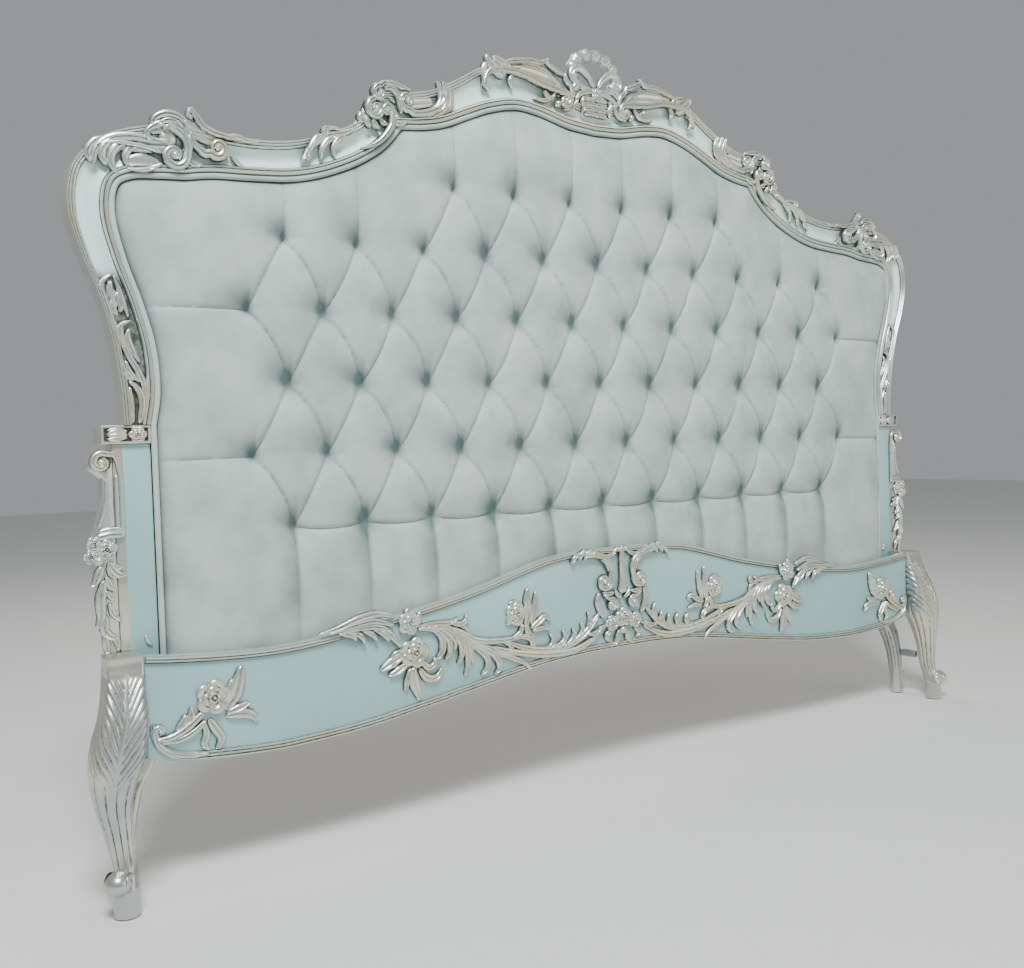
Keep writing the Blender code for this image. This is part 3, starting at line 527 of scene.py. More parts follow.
# ---------------------------------------------------------------- lines and grids
def smooth_line(points, steps):
    """A smooth open line through the points, with this many steps between each two."""
    knots = np.array(points, float)
    knots = np.vstack([2 * knots[0] - knots[1], knots, 2 * knots[-1] - knots[-2]])
    t = np.arange(steps)[:, None] / steps
    spans = [0.5 * (2 * b + (c - a) * t + (2 * a - 5 * b + 4 * c - d) * t * t
                    + (3 * b - a - 3 * c + d) * t ** 3)
             for a, b, c, d in zip(knots, knots[1:], knots[2:], knots[3:])]
    return np.vstack(spans + [knots[-2][None]])


def distances(line):
    return np.r_[0, np.cumsum(np.linalg.norm(np.diff(line, axis=0), axis=1))]


def even_line(line, count):
    """The line again, with its points at even distances."""
    along = distances(line)
    at = np.linspace(0, along[-1], count)
    return np.column_stack([np.interp(at, along, line[:, axis]) for axis in range(line.shape[1])])


def sideways(line):
    """The direction to the left of a flat line, at each of its points."""
    way = np.gradient(line, axis=0)
    way /= np.linalg.norm(way, axis=1)[:, None]
    return np.column_stack([-way[:, 1], way[:, 0]])


def mirrored(half):
    """A whole symmetrical line, from -X to +X, out of its half that runs from +X to the middle."""
    return np.vstack([half * (-1, 1), half[-2::-1]])


def in_metres(points, steps):
    """A smooth line from millimetres over the tuft datum to metres over the floor."""
    return smooth_line(points, steps) / 1000 + (0, TUFT_Z)


def step_up(value, low, high):
    """0 below low, 1 above high, and smooth between."""
    share = np.clip((value - low) / (high - low), 0, 1)
    return share * share * (3 - 2 * share)


def new_shape():
    bm = bmesh.new()
    bm.verts.layers.float_vector.new("tone")
    return bm


def lay_grid(bm, columns, rows, place):
    """Adds a grid and lays it where place(u, v) says.

    place gives the points, their relief, and their tint or, on velvet, its painted shade.
    """
    made = bmesh.ops.create_grid(bm, x_segments=columns, y_segments=rows, size=1.0)["verts"]
    flat = np.array([vert.co.xy for vert in made])
    flat = (flat - flat.min(0)) / (flat.max(0) - flat.min(0))
    points, relief, tint = place(flat[:, 0], flat[:, 1])
    relief, tint = np.broadcast_to(relief, len(flat)), np.broadcast_to(tint, len(flat))
    tone = bm.verts.layers.float_vector["tone"]
    for vert, point, high, tinted in zip(made, points.tolist(), relief.tolist(), tint.tolist()):
        vert.co = point
        vert[tone] = (high, tinted, 0)


def set_tone(bm, verts, relief):
    tone = bm.verts.layers.float_vector["tone"]
    for vert in verts:
        vert[tone] = (relief, 0, 0)


def fill_holes(bm):
    bmesh.ops.holes_fill(bm, edges=[edge for edge in bm.edges if edge.is_boundary], sides=0)


def close_ends(bm):
    """Joins a tube along its seam and caps its two ends."""
    bmesh.ops.remove_doubles(bm, verts=bm.verts, dist=1e-6)
    fill_holes(bm)


def finish_piece(name, bm, materials, nodes, smooth=50.0):
    """Merges and cleans a shape, makes it an object that rides on the bed, and hides the CAD nodes that it
    stands for.
    """
    bmesh.ops.remove_doubles(bm, verts=bm.verts, dist=1e-6)
    bmesh.ops.dissolve_degenerate(bm, edges=bm.edges, dist=1e-7)
    bmesh.ops.recalc_face_normals(bm, faces=bm.faces)
    mesh = bpy.data.meshes.new(name)
    bm.to_mesh(mesh)
    bm.free()
    mesh.shade_smooth()
    mesh.set_sharp_from_angle(angle=math.radians(smooth))
    for material in materials:
        mesh.materials.append(material)
    piece = bpy.data.objects.new(name, mesh)
    bpy.context.scene.collection.objects.link(piece)
    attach(piece, "root")
    if nodes:
        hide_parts(*nodes)
    return piece


def finish_leafed(name, bm, nodes, smooth=50.0):
    """Finishes a silver-leafed piece of the headboard or the footboard."""
    finish_piece(name, bm, [frame_silver()], nodes, smooth)


# ---------------------------------------------------------------- carving
def flat_face(side, front_y):
    """A face that looks to -Y: a is the distance from the middle, b the height, h how far forward."""
    return lambda a, b, h: np.column_stack([side * a, front_y - h, TUFT_Z + b])


def carve_stroke(bm, face, line, widths, height, lift, around=12, smooth_steps=6):
    """A rounded, tapering stroke of carving along a line, closed underneath and at both ends."""
    _, finish = settings()
    path = smooth_line(np.array(line) / 1000, smooth_steps)
    length = distances(path)[-1]
    columns = int(np.clip(length / 0.0032, 9, 40))
    path = even_line(path, columns + 1)
    across_way = sideways(path)
    station = np.linspace(0, 1, columns + 1)
    widths = [max(width, 0.42 * max(widths)) for width in widths]      # every leaf ends in a rounded lobe
    half = np.interp(station, np.linspace(0, 1, len(widths)), widths) * finish.fullness / 2000
    ends = np.minimum(station, 1 - station) * length / np.maximum(half, 1e-4)
    half = half * np.sqrt(np.clip(1 - (1 - np.clip(ends, 0, 1)) ** 2, 0, 1))
    top = height / 1000 * finish.relief * (0.55 + 0.45 * half / half.max())
    top[[0, -1]] *= 0.55
    fluted = 0.42 * np.clip((half - 0.0038) / 0.0015, 0, 1)      # broad strokes have a groove down the middle

    def place(u, v):
        index = np.rint(u * columns).astype(int)
        turn = np.clip(v / 0.84, 0, 1) * math.pi
        over = np.cos(turn)
        rise = np.sin(turn) ** 0.75 * (1 - fluted[index] * np.exp(-(over / 0.22) ** 2))
        under = v > 0.85
        over = np.where(under, -1 + 2 * (v - 0.84) / 0.16, over)
        rise = np.where(under, 0, rise)
        spot = path[index] + across_way[index] * (over * half[index])[:, None]
        up = lift / 1000 + rise * top[index]
        hidden = under & (v < 0.99)
        return face(spot[:, 0], spot[:, 1], up), np.where(hidden, 0.6, 0.04 + 0.96 * rise ** 1.6), 0.0

    lay_grid(bm, columns, around, place)


def spiral(centre, radius, start, turns, tighten=0.26):
    """Points of a spiral that winds in to its eye."""
    steps = max(int(abs(turns) * 12), 6)
    points = []
    for step in range(steps + 1):
        share = step / steps
        angle = math.radians(start) + math.tau * turns * share
        reach = radius * (1 - (1 - tighten) * share ** 0.9)
        points.append((centre[0] + reach * math.cos(angle), centre[1] + reach * math.sin(angle)))
    return points


def carve_scroll(bm, face, tail, widths, height, lift, volute):
    """A stroke that ends in a volute, with a round eye in its middle."""
    centre, radius, start, turns = volute
    carve_stroke(bm, face, list(tail) + spiral(centre, radius * 0.86, start, turns), widths, height, lift,
                 smooth_steps=4)
    carve_bud(bm, face, centre, radius * 0.36, height + 1, lift)
    carve_bud(bm, face, centre, radius * 0.86, height * 0.35, lift, relief=0.25)


def carve_bud(bm, face, centre, radius, height, lift, relief=1.0):
    """A low round dome."""
    _, finish = settings()

    def place(u, v):
        turn = u * math.tau
        out = np.where(v < 0.15, v / 0.15, np.cos((v - 0.15) / 0.85 * math.pi / 2))
        out = np.where(v > 0.999, 0, out) * radius / 1000
        up = np.where(v < 0.15, 0, np.sin(np.clip(v - 0.15, 0, 1) / 0.85 * math.pi / 2))
        points = face(centre[0] / 1000 + out * np.cos(turn), centre[1] / 1000 + out * np.sin(turn),
                      lift / 1000 + up * height / 1000 * finish.relief)
        return points, (0.05 + 0.95 * up) * relief, 0.0

    lay_grid(bm, 12, 7, place)


def carve_rose(bm, face, centre, radius, height, lift, turn=0.0, petals=5):
    """A full-blown rose: rings of cupped petals round a curled heart."""
    rings = ((0.82, 0.36, petals, 0.0, 0.62), (0.54, 0.30, 4, 0.5, 0.84), (0.29, 0.25, 3, 0.2, 1.0))
    carve_bud(bm, face, centre, radius * 0.92, height * 0.45, lift, relief=0.30)
    for reach, width, count, shift, share in rings:
        for petal in range(count):
            middle = math.radians(turn) + math.tau * (petal + shift) / count
            spread = math.tau / count * 0.60
            arc = []
            for step in range(7):
                angle = middle + spread * (step - 3) / 3
                out = radius * reach * (1.08 - 0.34 * ((step - 3) / 3) ** 2)
                arc.append((centre[0] + out * math.cos(angle), centre[1] + out * math.sin(angle)))
            wide = radius * width
            carve_stroke(bm, face, arc, [wide * 0.5, wide * 0.8, wide, wide * 0.8, wide * 0.5],
                         height * share, lift, around=8, smooth_steps=3)
    carve_bud(bm, face, centre, radius * 0.16, height, lift)


def carve(bm, face, marks=(), scrolls=()):
    for line, widths, height, lift in marks:
        carve_stroke(bm, face, line, widths, height, lift)
    for tail, widths, height, lift, volute in scrolls:
        carve_scroll(bm, face, tail, widths, height, lift, volute)


# ---------------------------------------------------------------- mouldings
def section_of_frame(width):
    """The frame's section: distance from its inner edge, how far forward, relief and tint, in metres."""
    w = width * 1000
    inner = [(0, 3, .5, 0), (0.6, 7, .9, 0), (2.2, 9.8, 1, 0), (4.2, 10.6, 1, 0), (6.0, 9.4, .9, 0),
             (7.0, 7.6, .05, 0), (7.6, 7.6, .05, 0), (8.8, 9.6, 1, 0), (10.4, 9.8, 1, 0), (11.8, 7.6, .8, 0),
             (12.8, 4.4, .05, 0), (13.4, 3.4, .05, 0)]
    outer = [(14.2, 3.6, .05, 0), (13.6, 4.6, .05, 0), (12.4, 7.6, .9, 0), (11.0, 8.6, 1, 0),
             (9.6, 7.8, .8, 0), (8.9, 6.8, .05, 0), (7.8, 9.4, 1, 0), (6.4, 10.4, 1, 0), (5.0, 9.6, .8, 0),
             (4.3, 8.2, .05, 0), (3.2, 10.8, 1, 0), (1.8, 11.6, 1, 0), (0.6, 10.4, 1, 0), (0, 7, .6, 0)]
    low, high = 14.4, w - 15.4
    cove = []
    for step in range(9):
        share = step / 8
        dip = 3.0 - 5.2 * math.sin(math.pi * share)
        cove.append((low + (high - low) * share, dip, 0.9, 1.0 if high > low + 6 else 0.0))
    if high < low + 3:
        cove = [(low + (w - 14.2 - low) * share / 8, 2.6, 0.15, 0.0) for share in range(9)]
    return np.array(inner + cove + [(w - d, h, r, t) for d, h, r, t in outer]) / (1000, 1000, 1, 1)


def moulding(name, inner, outer, nodes, whole=False, side=1, recess=0.0):
    """One length of the frame, with its beads and its cove, laid between its two edges.

    Below the recess height over the tufts, the cove is dark under its carving and isn't tinted.
    """
    inner, outer = in_metres(inner, 14), in_metres(outer, 14)
    if whole:
        inner, outer = mirrored(inner), mirrored(outer)
    gap = np.linalg.norm(outer - inner, axis=1)
    sections = np.array([section_of_frame(width) for width in gap])
    count = sections.shape[1]
    back = HEAD_Y + 0.033

    def place(u, v):
        at = np.rint(u * (len(inner) - 1)).astype(int)
        around = np.rint(v * (count + 2)).astype(int)
        point = sections[at, np.clip(around, 0, count - 1)]
        closing = around == count + 2
        point = np.where(closing[:, None], sections[at, 0], point)
        share = np.clip(point[:, 0] / gap[at], 0, 1)
        share = np.where(around == count, 1, np.where(around == count + 1, 0, share))
        flat = inner[at] + (outer[at] - inner[at]) * share[:, None]
        depth = np.where((around == count) | (around == count + 1), back, HEAD_Y - point[:, 1])
        relief = np.where((around >= count) & ~closing, 0.8, point[:, 2])
        tint = np.where((around >= count) & ~closing, 0, point[:, 3])
        if recess:
            leafed = 1 - step_up(flat[:, 1] - TUFT_Z, recess - 0.012, recess + 0.012)
            relief = np.where(tint > 0.5, relief * (1 - leafed) + 0.30 * leafed, relief)
            tint = tint * (1 - leafed)
        return np.column_stack([side * flat[:, 0], depth, flat[:, 1]]), relief, tint

    bm = new_shape()
    lay_grid(bm, len(inner) - 1, count + 2, place)
    close_ends(bm)
    finish_leafed(name, bm, nodes)


def lay_tube(bm, path, radius, depth, relief):
    """A round cord or bead along a line in the XZ plane, closed at both ends."""
    across = sideways(path)
    ends = np.r_[0, np.ones(len(path) - 2), 0]

    def place(u, v):
        at = np.rint(u * (len(path) - 1)).astype(int)
        turn = v * math.tau
        flat = path[at] + across[at] * (radius * np.cos(turn) * ends[at])[:, None]
        points = np.column_stack([flat[:, 0], depth + radius * np.sin(turn) * ends[at], flat[:, 1]])
        return points, relief, 0.0

    lay_grid(bm, len(path) - 1, 10, place)


def panel_edge(steps):
    """The frame's inner edge round the upholstery, from -X to +X, in metres over the floor."""
    post = in_metres([(939.7, PANEL_BOTTOM * 1000), (939.7, -120), (939.7, 20), (939.7, 184)], steps)
    half = np.vstack([post, in_metres(STILE_INNER, steps), in_metres(WING_INNER, steps)[1:],
                      in_metres(CREST_INNER, steps)[1:]])
    return mirrored(half)


def plate(bm, outline, front_y, back_y, ease):
    """A closed outline in the XZ plane, given thickness, with its front edges eased."""
    face = bm.faces.new([bm.verts.new((x, front_y, z)) for x, z in outline])
    made = bmesh.ops.extrude_face_region(bm, geom=[face])["geom"]
    bmesh.ops.translate(bm, verts=[item for item in made if isinstance(item, bmesh.types.BMVert)],
                        vec=(0, back_y - front_y, 0))
    bmesh.ops.recalc_face_normals(bm, faces=bm.faces)
    rim = [edge for edge in bm.edges if all(abs(vert.co.y - front_y) < 1e-6 for vert in edge.verts)]
    bmesh.ops.bevel(bm, geom=rim, offset=ease, segments=2, profile=0.5, affect="EDGES", material=-1)
    set_tone(bm, bm.verts, 0.85)


def add_box(bm, low, high, ease):
    made = bmesh.ops.create_cube(bm, size=1.0)["verts"]
    bmesh.ops.scale(bm, vec=Vector(high) - Vector(low), verts=made)
    bmesh.ops.translate(bm, vec=(Vector(low) + Vector(high)) / 2, verts=made)
    edges = list({edge for vert in made for edge in vert.link_edges})
    bmesh.ops.bevel(bm, geom=edges, offset=ease, segments=2, profile=0.5, affect="EDGES", material=-1)


# ---------------------------------------------------------------- upholstery
def tuft_buttons():
    """Distance from the middle and height of each button: rows of eleven and twelve, six at the top."""
    rows = {0: range(-10, 11, 2), 1: range(-11, 12, 2), 2: range(-10, 11, 2), 3: range(-11, 12, 2),
            4: range(-10, 11, 2), 5: range(-5, 6, 2)}
    return {(half, row) for row, halves in rows.items() for half in halves}


def pleats():
    """Each fold between two buttons or a button and the edge: its ends, its bow and its depth."""
    buttons = tuft_buttons()
    spot = lambda half, row: (half * COLUMN / 2, row * ROW)
    folds = []
    for half, row in sorted(buttons):
        for step, bow in ((1, RIGHTWARD_BOW), (-1, 0.0032 * math.sin(1.7 * half + 2.3 * row))):
            if (half + step, row - 1) in buttons:
                folds.append((spot(half, row), spot(half + step, row - 1), bow, 0.92))
        if row == 0:
            if (half + 2, 0) in buttons:
                folds.append((spot(half, 0), spot(half + 2, 0), -0.0055, 0.86))
            folds.append((spot(half, 0), (half * COLUMN / 2, PANEL_BOTTOM - 0.01), 0.0, 0.62))
        if row == 5 or (row == 4 and abs(half) >= 8):
            lean = 0.012 * np.sign(half) * (abs(half) / 5 if row == 5 else 0.5)
            folds.append((spot(half, row), (half * COLUMN / 2 + lean, 0.86), 0.004 * np.sign(half), 0.62))
        if row in (1, 3) and abs(half) == 11:
            folds.append((spot(half, row), (np.sign(half) * 1.02, row * ROW - 0.004), 0.0, 0.62))
    return folds


def across_fold(fold, x, z):
    """Where points lie against one fold.

    Gives the share of its length, the distance to its left, the distance past its ends, the direction
    to its left, and its length.
    """
    (ax, az), (bx, bz), bow, _ = fold
    way = np.array([bx - ax, bz - az])
    length = np.hypot(*way)
    share = ((x - ax) * way[0] + (z - az) * way[1]) / length ** 2
    held = np.clip(share, 0, 1)
    aside = (-(x - ax) * way[1] + (z - az) * way[0]) / length - bow * 4 * held * (1 - held)
    past = np.maximum(np.maximum(-share, share - 1), 0) * length
    return held, aside, past, np.array([-way[1], way[0]]) / length, length


def drawn_to_folds(x, z, reach):
    """The points again, with those within reach of a fold moved on to it, so that its crease is sharp."""
    moved_x, moved_z, nearest = x.copy(), z.copy(), np.full(len(x), reach)
    for fold in pleats():
        _, aside, past, normal, _ = across_fold(fold, x, z)
        close = (np.abs(aside) < nearest) & (past <= 0)
        nearest[close] = np.abs(aside[close])
        moved_x[close] = x[close] - aside[close] * normal[0]
        moved_z[close] = z[close] - aside[close] * normal[1]
    return moved_x, moved_z


def quilt_level(x, z):
    """How far the padding has risen at each point, from 0 at a button to 1 on a puff."""
    level = np.ones_like(x)
    for fold in pleats():
        held, aside, past, _, length = across_fold(fold, x, z)
        far = np.hypot(aside * (1 + 0.30 * np.sign(aside)), past)
        near = far < 0.12
        far, held, depth = far[near], held[near], fold[3]
        if depth > 0.8:
            slack = depth * (0.66 + 0.34 * np.abs(2 * held - 1) ** 1.6)
        else:
            slack = depth * (0.50 + 0.50 * np.exp(-held * length / 0.06))
        rightward = fold[2] == RIGHTWARD_BOW
        sharp = 0.30 if rightward else 0.42                 # folds that run down to the right lie flatter
        level[near] *= 1 - slack * (sharp * np.exp(-far / 0.0030) + 0.36 * np.exp(-(far / 0.026) ** 1.3))
        if rightward:
            # a raised rib beside the crease; through the relief it is also painted lighter, a painted
            # highlight along the fold
            rib = np.exp(-((aside[near] - 0.0040) / 0.0018) ** 2) * np.sin(math.pi * held)
            level[near] += 0.09 * rib * (past[near] <= 0)
    for half, row in tuft_buttons():
        dx, dz = x - half * COLUMN / 2, z - row * ROW
        far = np.hypot(dx, dz)
        near = far < 0.09
        far, angle = far[near], np.arctan2(dz[near], dx[near])
        level[near] *= 1 - 0.62 * np.exp(-(far / 0.0095) ** 1.1)
        crimp = np.cos(6 * angle + half) + 0.6 * np.cos(11 * angle + 2 * row)
        level[near] += 0.034 * crimp * np.exp(-far / 0.014) * (1 - np.exp(-far / 0.004))
    return level


def painted_velvet_shade(x, z, border):
    """Painted shade on the velvet: a patch beside each button, a band along the welt, and a band left of each
    seam under the lowest row.
    """
    # painted shade along the welt, where the panel rolls back from the front
    painted_shade = 0.45 * np.exp(-border / 0.020)
    for half, row in tuft_buttons():
        dx, dz = x - half * COLUMN / 2, z - row * ROW
        near = (np.abs(dx) < 0.09) & (np.abs(dz) < 0.08)
        dx, dz = dx[near], dz[near]
        # painted shade: the button's pit is shaded on its upper left, and the shade reaches further to the
        # left
        patch = np.where(dx < 0, np.exp(-(np.maximum(-dx, 0) / 0.040) ** 1.5), np.exp(-(dx / 0.005) ** 2))
        patch = patch * np.exp(-((dz - 0.010 + 0.10 * dx) / np.where(dz > 0.010, 0.030, 0.013)) ** 2)
        painted_shade[near] = np.maximum(painted_shade[near], patch)
        if row == 0:
            below = (np.abs(x - half * COLUMN / 2) < 0.05) & (z < 0)
            aside, drop = x[below] - half * COLUMN / 2, -z[below]
            # painted shade to the left of each seam below the lowest row
            seam = np.where(aside < 0, np.exp(-(np.maximum(-aside, 0) / 0.032) ** 1.8),
                            np.exp(-(aside / 0.003) ** 2))
            painted_shade[below] = np.maximum(painted_shade[below], 0.72 * seam * np.exp(-((drop - 0.060) / 0.100) ** 2))
    return np.clip(painted_shade, 0, 1)


class BED_OT_upholstery(bpy.types.Operator):
    """Models the tufted velvet panel and the corded welt round it"""
    bl_idname = "bed.upholstery"
    bl_label = "Tufted Panel and Welt"

    def execute(self, context):
        cloth, _ = settings()
        clear = 2 * (cloth.welt_radius + WELT_CLEAR) - 0.0012
        edge = panel_edge(6)
        outline = edge + sideways(edge) * -clear
        corner = int(np.argmin(np.hypot(outline[:, 0] - SHOULDER_CORNER[0],
                                        outline[:, 1] - TUFT_Z - SHOULDER_CORNER[1])))
        other = len(outline) - 1 - corner
        right, top, left = outline[corner:][::-1], outline[other:corner + 1], outline[:other + 1]
        bottom = np.array([left[0], right[0]])
        rim = np.vstack([outline, outline[:1]])
        columns, rows = 520, 290

        def along(line, share):
            way = distances(line)
            return np.column_stack([np.interp(share * way[-1], way, line[:, axis]) for axis in (0, 1)])

        def place(u, v):
            flat = ((1 - v)[:, None] * along(bottom, u) + v[:, None] * along(top, u)
                    + (1 - u)[:, None] * along(left, v) + u[:, None] * along(right, v)
                    - ((1 - u) * (1 - v))[:, None] * left[0] - (u * (1 - v))[:, None] * right[0]
                    - ((1 - u) * v)[:, None] * left[-1] - (u * v)[:, None] * right[-1])
            inside = np.minimum(np.minimum(u, 1 - u) * columns, np.minimum(v, 1 - v) * rows) > 2.5
            x, z = drawn_to_folds(flat[:, 0], flat[:, 1] - TUFT_Z, reach=0.0019)
            flat = np.where(inside[:, None], np.column_stack([x, z + TUFT_Z]), flat)
            x, z = flat[:, 0], flat[:, 1] - TUFT_Z
            level = quilt_level(x, z)
            border = np.full(len(x), 1.0)
            for start, end in zip(rim, rim[1:]):
                way = end - start
                share = np.clip(((flat - start) @ way) / max(way @ way, 1e-12), 0, 1)
                border = np.minimum(border, np.linalg.norm(flat - start - share[:, None] * way, axis=1))
            roll = 1 - np.exp(-(border / 0.016) ** 0.9)
            drape = 0.035 * np.sin(9 * x + 2.0 * z) * np.sin(7 * z - 1.3) + 0.02 * np.sin(23 * x - 17 * z)
            rise = np.maximum(level + drape * np.clip(level, 0, 1), 0) * roll
            y = HEAD_Y + cloth.pinch * (1 - roll * 0.2) - (cloth.puff + cloth.pinch) * rise
            # the rise doubles as the velvet's relief, so creases, pits and the roll at the welt also get
            # painted shade; the third value is the painted shade patches
            return np.column_stack([x, y, flat[:, 1]]), np.clip(rise, 0, 1), painted_velvet_shade(x, z, border)

        bm = new_shape()
        lay_grid(bm, columns, rows, place)
        hem = [edge for edge in bm.edges if edge.is_boundary]
        pulled = bmesh.ops.extrude_edge_only(bm, edges=hem)["geom"]
        for item in pulled:
            if isinstance(item, bmesh.types.BMVert):
                item.co.y = HEAD_Y + 0.030
        fill_holes(bm)
        panel = finish_piece("tufted_velvet_panel", bm, [velvet_material()], ["tufted_panel"], 75)

        bm = new_shape()
        centre = panel_edge(10)
        lay_tube(bm, centre + sideways(centre) * -(cloth.welt_radius + WELT_CLEAR), cloth.welt_radius,
                 HEAD_Y - 0.003, 0.8)
        finish_piece("velvet_welt", bm, [velvet_material()], ["panel_welt"], 75)
        return {"FINISHED"}


# ---------------------------------------------------------------- headboard
class BED_OT_headboard_frame(bpy.types.Operator):
    """Models the beaded and tinted moulding round the headboard"""
    bl_idname = "bed.headboard_frame"
    bl_label = "Headboard Moulding"

    def execute(self, context):
        moulding("crest_moulding", CREST_INNER, CREST_OUTER, ["crest_rail"], whole=True)
        for label, side in SIDES:
            moulding(f"stile_moulding_{label}", STILE_INNER, STILE_OUTER, [f"stile_{label}"], side=side,
                     recess=0.430)
            moulding(f"wing_moulding_{label}", WING_INNER, WING_OUTER, [f"wing_rail_{label}"], side=side)
        return {"FINISHED"}


class BED_OT_headboard_carving(bpy.types.Operator):
    """Models the acanthus, shells, scrolls and ribbon ring carved on the headboard's frame"""
    bl_idname = "bed.headboard_carving"
    bl_label = "Headboard Carving"

    def execute(self, context):
        for label, side in SIDES:
            face = flat_face(side, HEAD_Y - 0.0035)
            groups = (("shoulder_carving", SHOULDER, SHOULDER_SCROLLS, ["shoulder_leaf", "shoulder_shell"]),
                      ("wing_spray", WING_SPRAY, WING_SCROLLS, []),
                      ("peak_shell_carving", PEAK, PEAK_SCROLLS, ["peak_shell"]),
                      ("crest_acanthus", CREST, CREST_SCROLLS, ["crest_leaf"]))
            for name, marks, scrolls, nodes in groups:
                bm = new_shape()
                carve(bm, face, marks, scrolls)
                if name == "shoulder_carving":
                    carve_bud(bm, face, (893, 655), 16, 7, 1, relief=0.8)
                if name == "crest_acanthus":
                    carve_bud(bm, face, (98, 836), 8, 12, 2)
                finish_leafed(f"{name}_{label}", bm, [f"{node}_{label}" for node in nodes])
            bm = new_shape()
            carve(bm, flat_face(side, HEAD_Y), STILE_LEAF)
            finish_leafed(f"stile_acanthus_{label}", bm, [f"stile_leaf_{label}"])

        face = flat_face(1, HEAD_Y - 0.0035)
        bm = new_shape()
        carve_rose(bm, face, (0, 869), 13, 13, 6)
        carve_stroke(bm, face, [(-32, 863), (0, 866), (32, 863)], [6, 9, 6], 8, 2)
        finish_leafed("crest_knot", bm, ["crest_reeds"])

        turns = np.radians(np.linspace(-38, 218, 120))
        path = np.column_stack([0.0580 * np.cos(turns), TUFT_Z + 0.9105 + 0.0415 * np.sin(turns)])
        out = np.column_stack([np.cos(turns), np.sin(turns)])
        ripple = 1 + 0.13 * np.cos(turns * 13)

        def place(u, v):
            at = np.rint(u * (len(path) - 1)).astype(int)
            turn = v * math.tau
            groove = 1 - 0.14 * np.cos(3 * turn) ** 2
            cap = np.where((at == 0) | (at == len(path) - 1), 0.02, 1)
            half = 0.0135 * ripple[at] * cap
            flat = path[at] + out[at] * (half * np.cos(turn) * groove)[:, None]
            y = HEAD_Y - 0.006 + 0.0115 * ripple[at] * cap * np.sin(turn) * groove
            crown = np.clip((ripple[at] - 0.87) / 0.15, 0, 1)
            return np.column_stack([flat[:, 0], y, flat[:, 1]]), 0.52 + 0.48 * crown, 0.0

        bm = new_shape()
        lay_grid(bm, len(path) - 1, 18, place)
        close_ends(bm)
        finish_leafed("crest_ribbon_ring", bm, ["crest_ring"])
        return {"FINISHED"}


class BED_OT_posts(bpy.types.Operator):
    """Models the headboard's posts with their blocks, consoles and flower drops"""
    bl_idname = "bed.posts"
    bl_label = "Posts and Blocks"

    def execute(self, context):
        for label, side in SIDES:
            low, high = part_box(f"headboard_post_{label}")
            bm = new_shape()
            add_box(bm, low, high, 0.002)
            bmesh.ops.bisect_plane(bm, geom=bm.verts[:] + bm.edges[:] + bm.faces[:], dist=1e-6,
                                   plane_co=(side * POST_STRIP_X, 0, 0), plane_no=(1, 0, 0))
            set_tone(bm, bm.verts, 0.9)
            for panel in bm.faces:
                panel.material_index = int(abs(panel.calc_center_median().x) > POST_STRIP_X)
            finish_piece(f"post_{label}", bm, [lacquer_material(), frame_silver()],
                         [f"headboard_post_{label}"], 40)

            low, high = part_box(f"corner_block_{label}")
            bm = new_shape()
            add_box(bm, low, high, 0.0015)
            bm.faces.ensure_lookup_table()
            front = max((f for f in bm.faces if f.normal.y < -0.9), key=lambda f: f.calc_area())
            bmesh.ops.inset_region(bm, faces=[front], thickness=0.0035, depth=0.0)
            bmesh.ops.inset_region(bm, faces=[front], thickness=0.0012, depth=-0.004)
            set_tone(bm, bm.verts, 0.85)
            set_tone(bm, front.verts, 0.12)
            finish_leafed(f"block_{label}", bm, [f"corner_block_{label}"], 40)

            face = flat_face(side, low.y + 0.0035)
            bm = new_shape()
            carve_rose(bm, face, (960, 170), 13, 8, 0, petals=6)
            carve_stroke(bm, face, [(1008, 170), (992, 172), (976, 169)], [3, 12, 5], 5, 0)
            carve_stroke(bm, face, [(1008, 163), (992, 163), (976, 166)], [2, 6, 3], 4, 0)
            carve_stroke(bm, face, [(1008, 177), (992, 179), (976, 175)], [2, 5, 3], 4, 0)
            finish_leafed(f"block_flower_{label}", bm, [f"block_rosette_{label}"])

            volute = [(1018.1 + 17.5 * math.cos(a), 124 + 17.5 * math.sin(a))
                      for a in (math.radians(150 - 9 * step) for step in range(25))]
            swell = smooth_line([(1016.8, 100), (1017.8, 65), (1025.3, 28), (1034.3, 4)], 6)
            lower = smooth_line([(1033.3, -60), (1025.3, -130), (1021.3, -190)], 6)
            outline = np.vstack([[(1000.3, 140)], volute, swell, lower, [(1000.3, -190)]]) / 1000
            bm = new_shape()
            plate(bm, outline * (side, 1) + (0, TUFT_Z), HEAD_Y, HEAD_Y + 0.036, 0.003)
            finish_leafed(f"console_{label}", bm, [f"post_console_{label}"], 40)

            face = flat_face(side, HEAD_Y + 0.0004)
            bm = new_shape()
            carve(bm, face, POST_MARKS, POST_SCROLLS)
            carve_rose(bm, face, (1016, -14), 16, 13, 0, turn=20)
            carve_rose(bm, face, (1034, -4), 12, 11, 0, turn=50)
            carve_rose(bm, face, (1040, -24), 11, 11, 0)
            carve_bud(bm, face, (1028, -32), 9, 12, 0)
            finish_leafed(f"post_flower_drop_{label}", bm, [f"post_drop_{label}"])
        return {"FINISHED"}


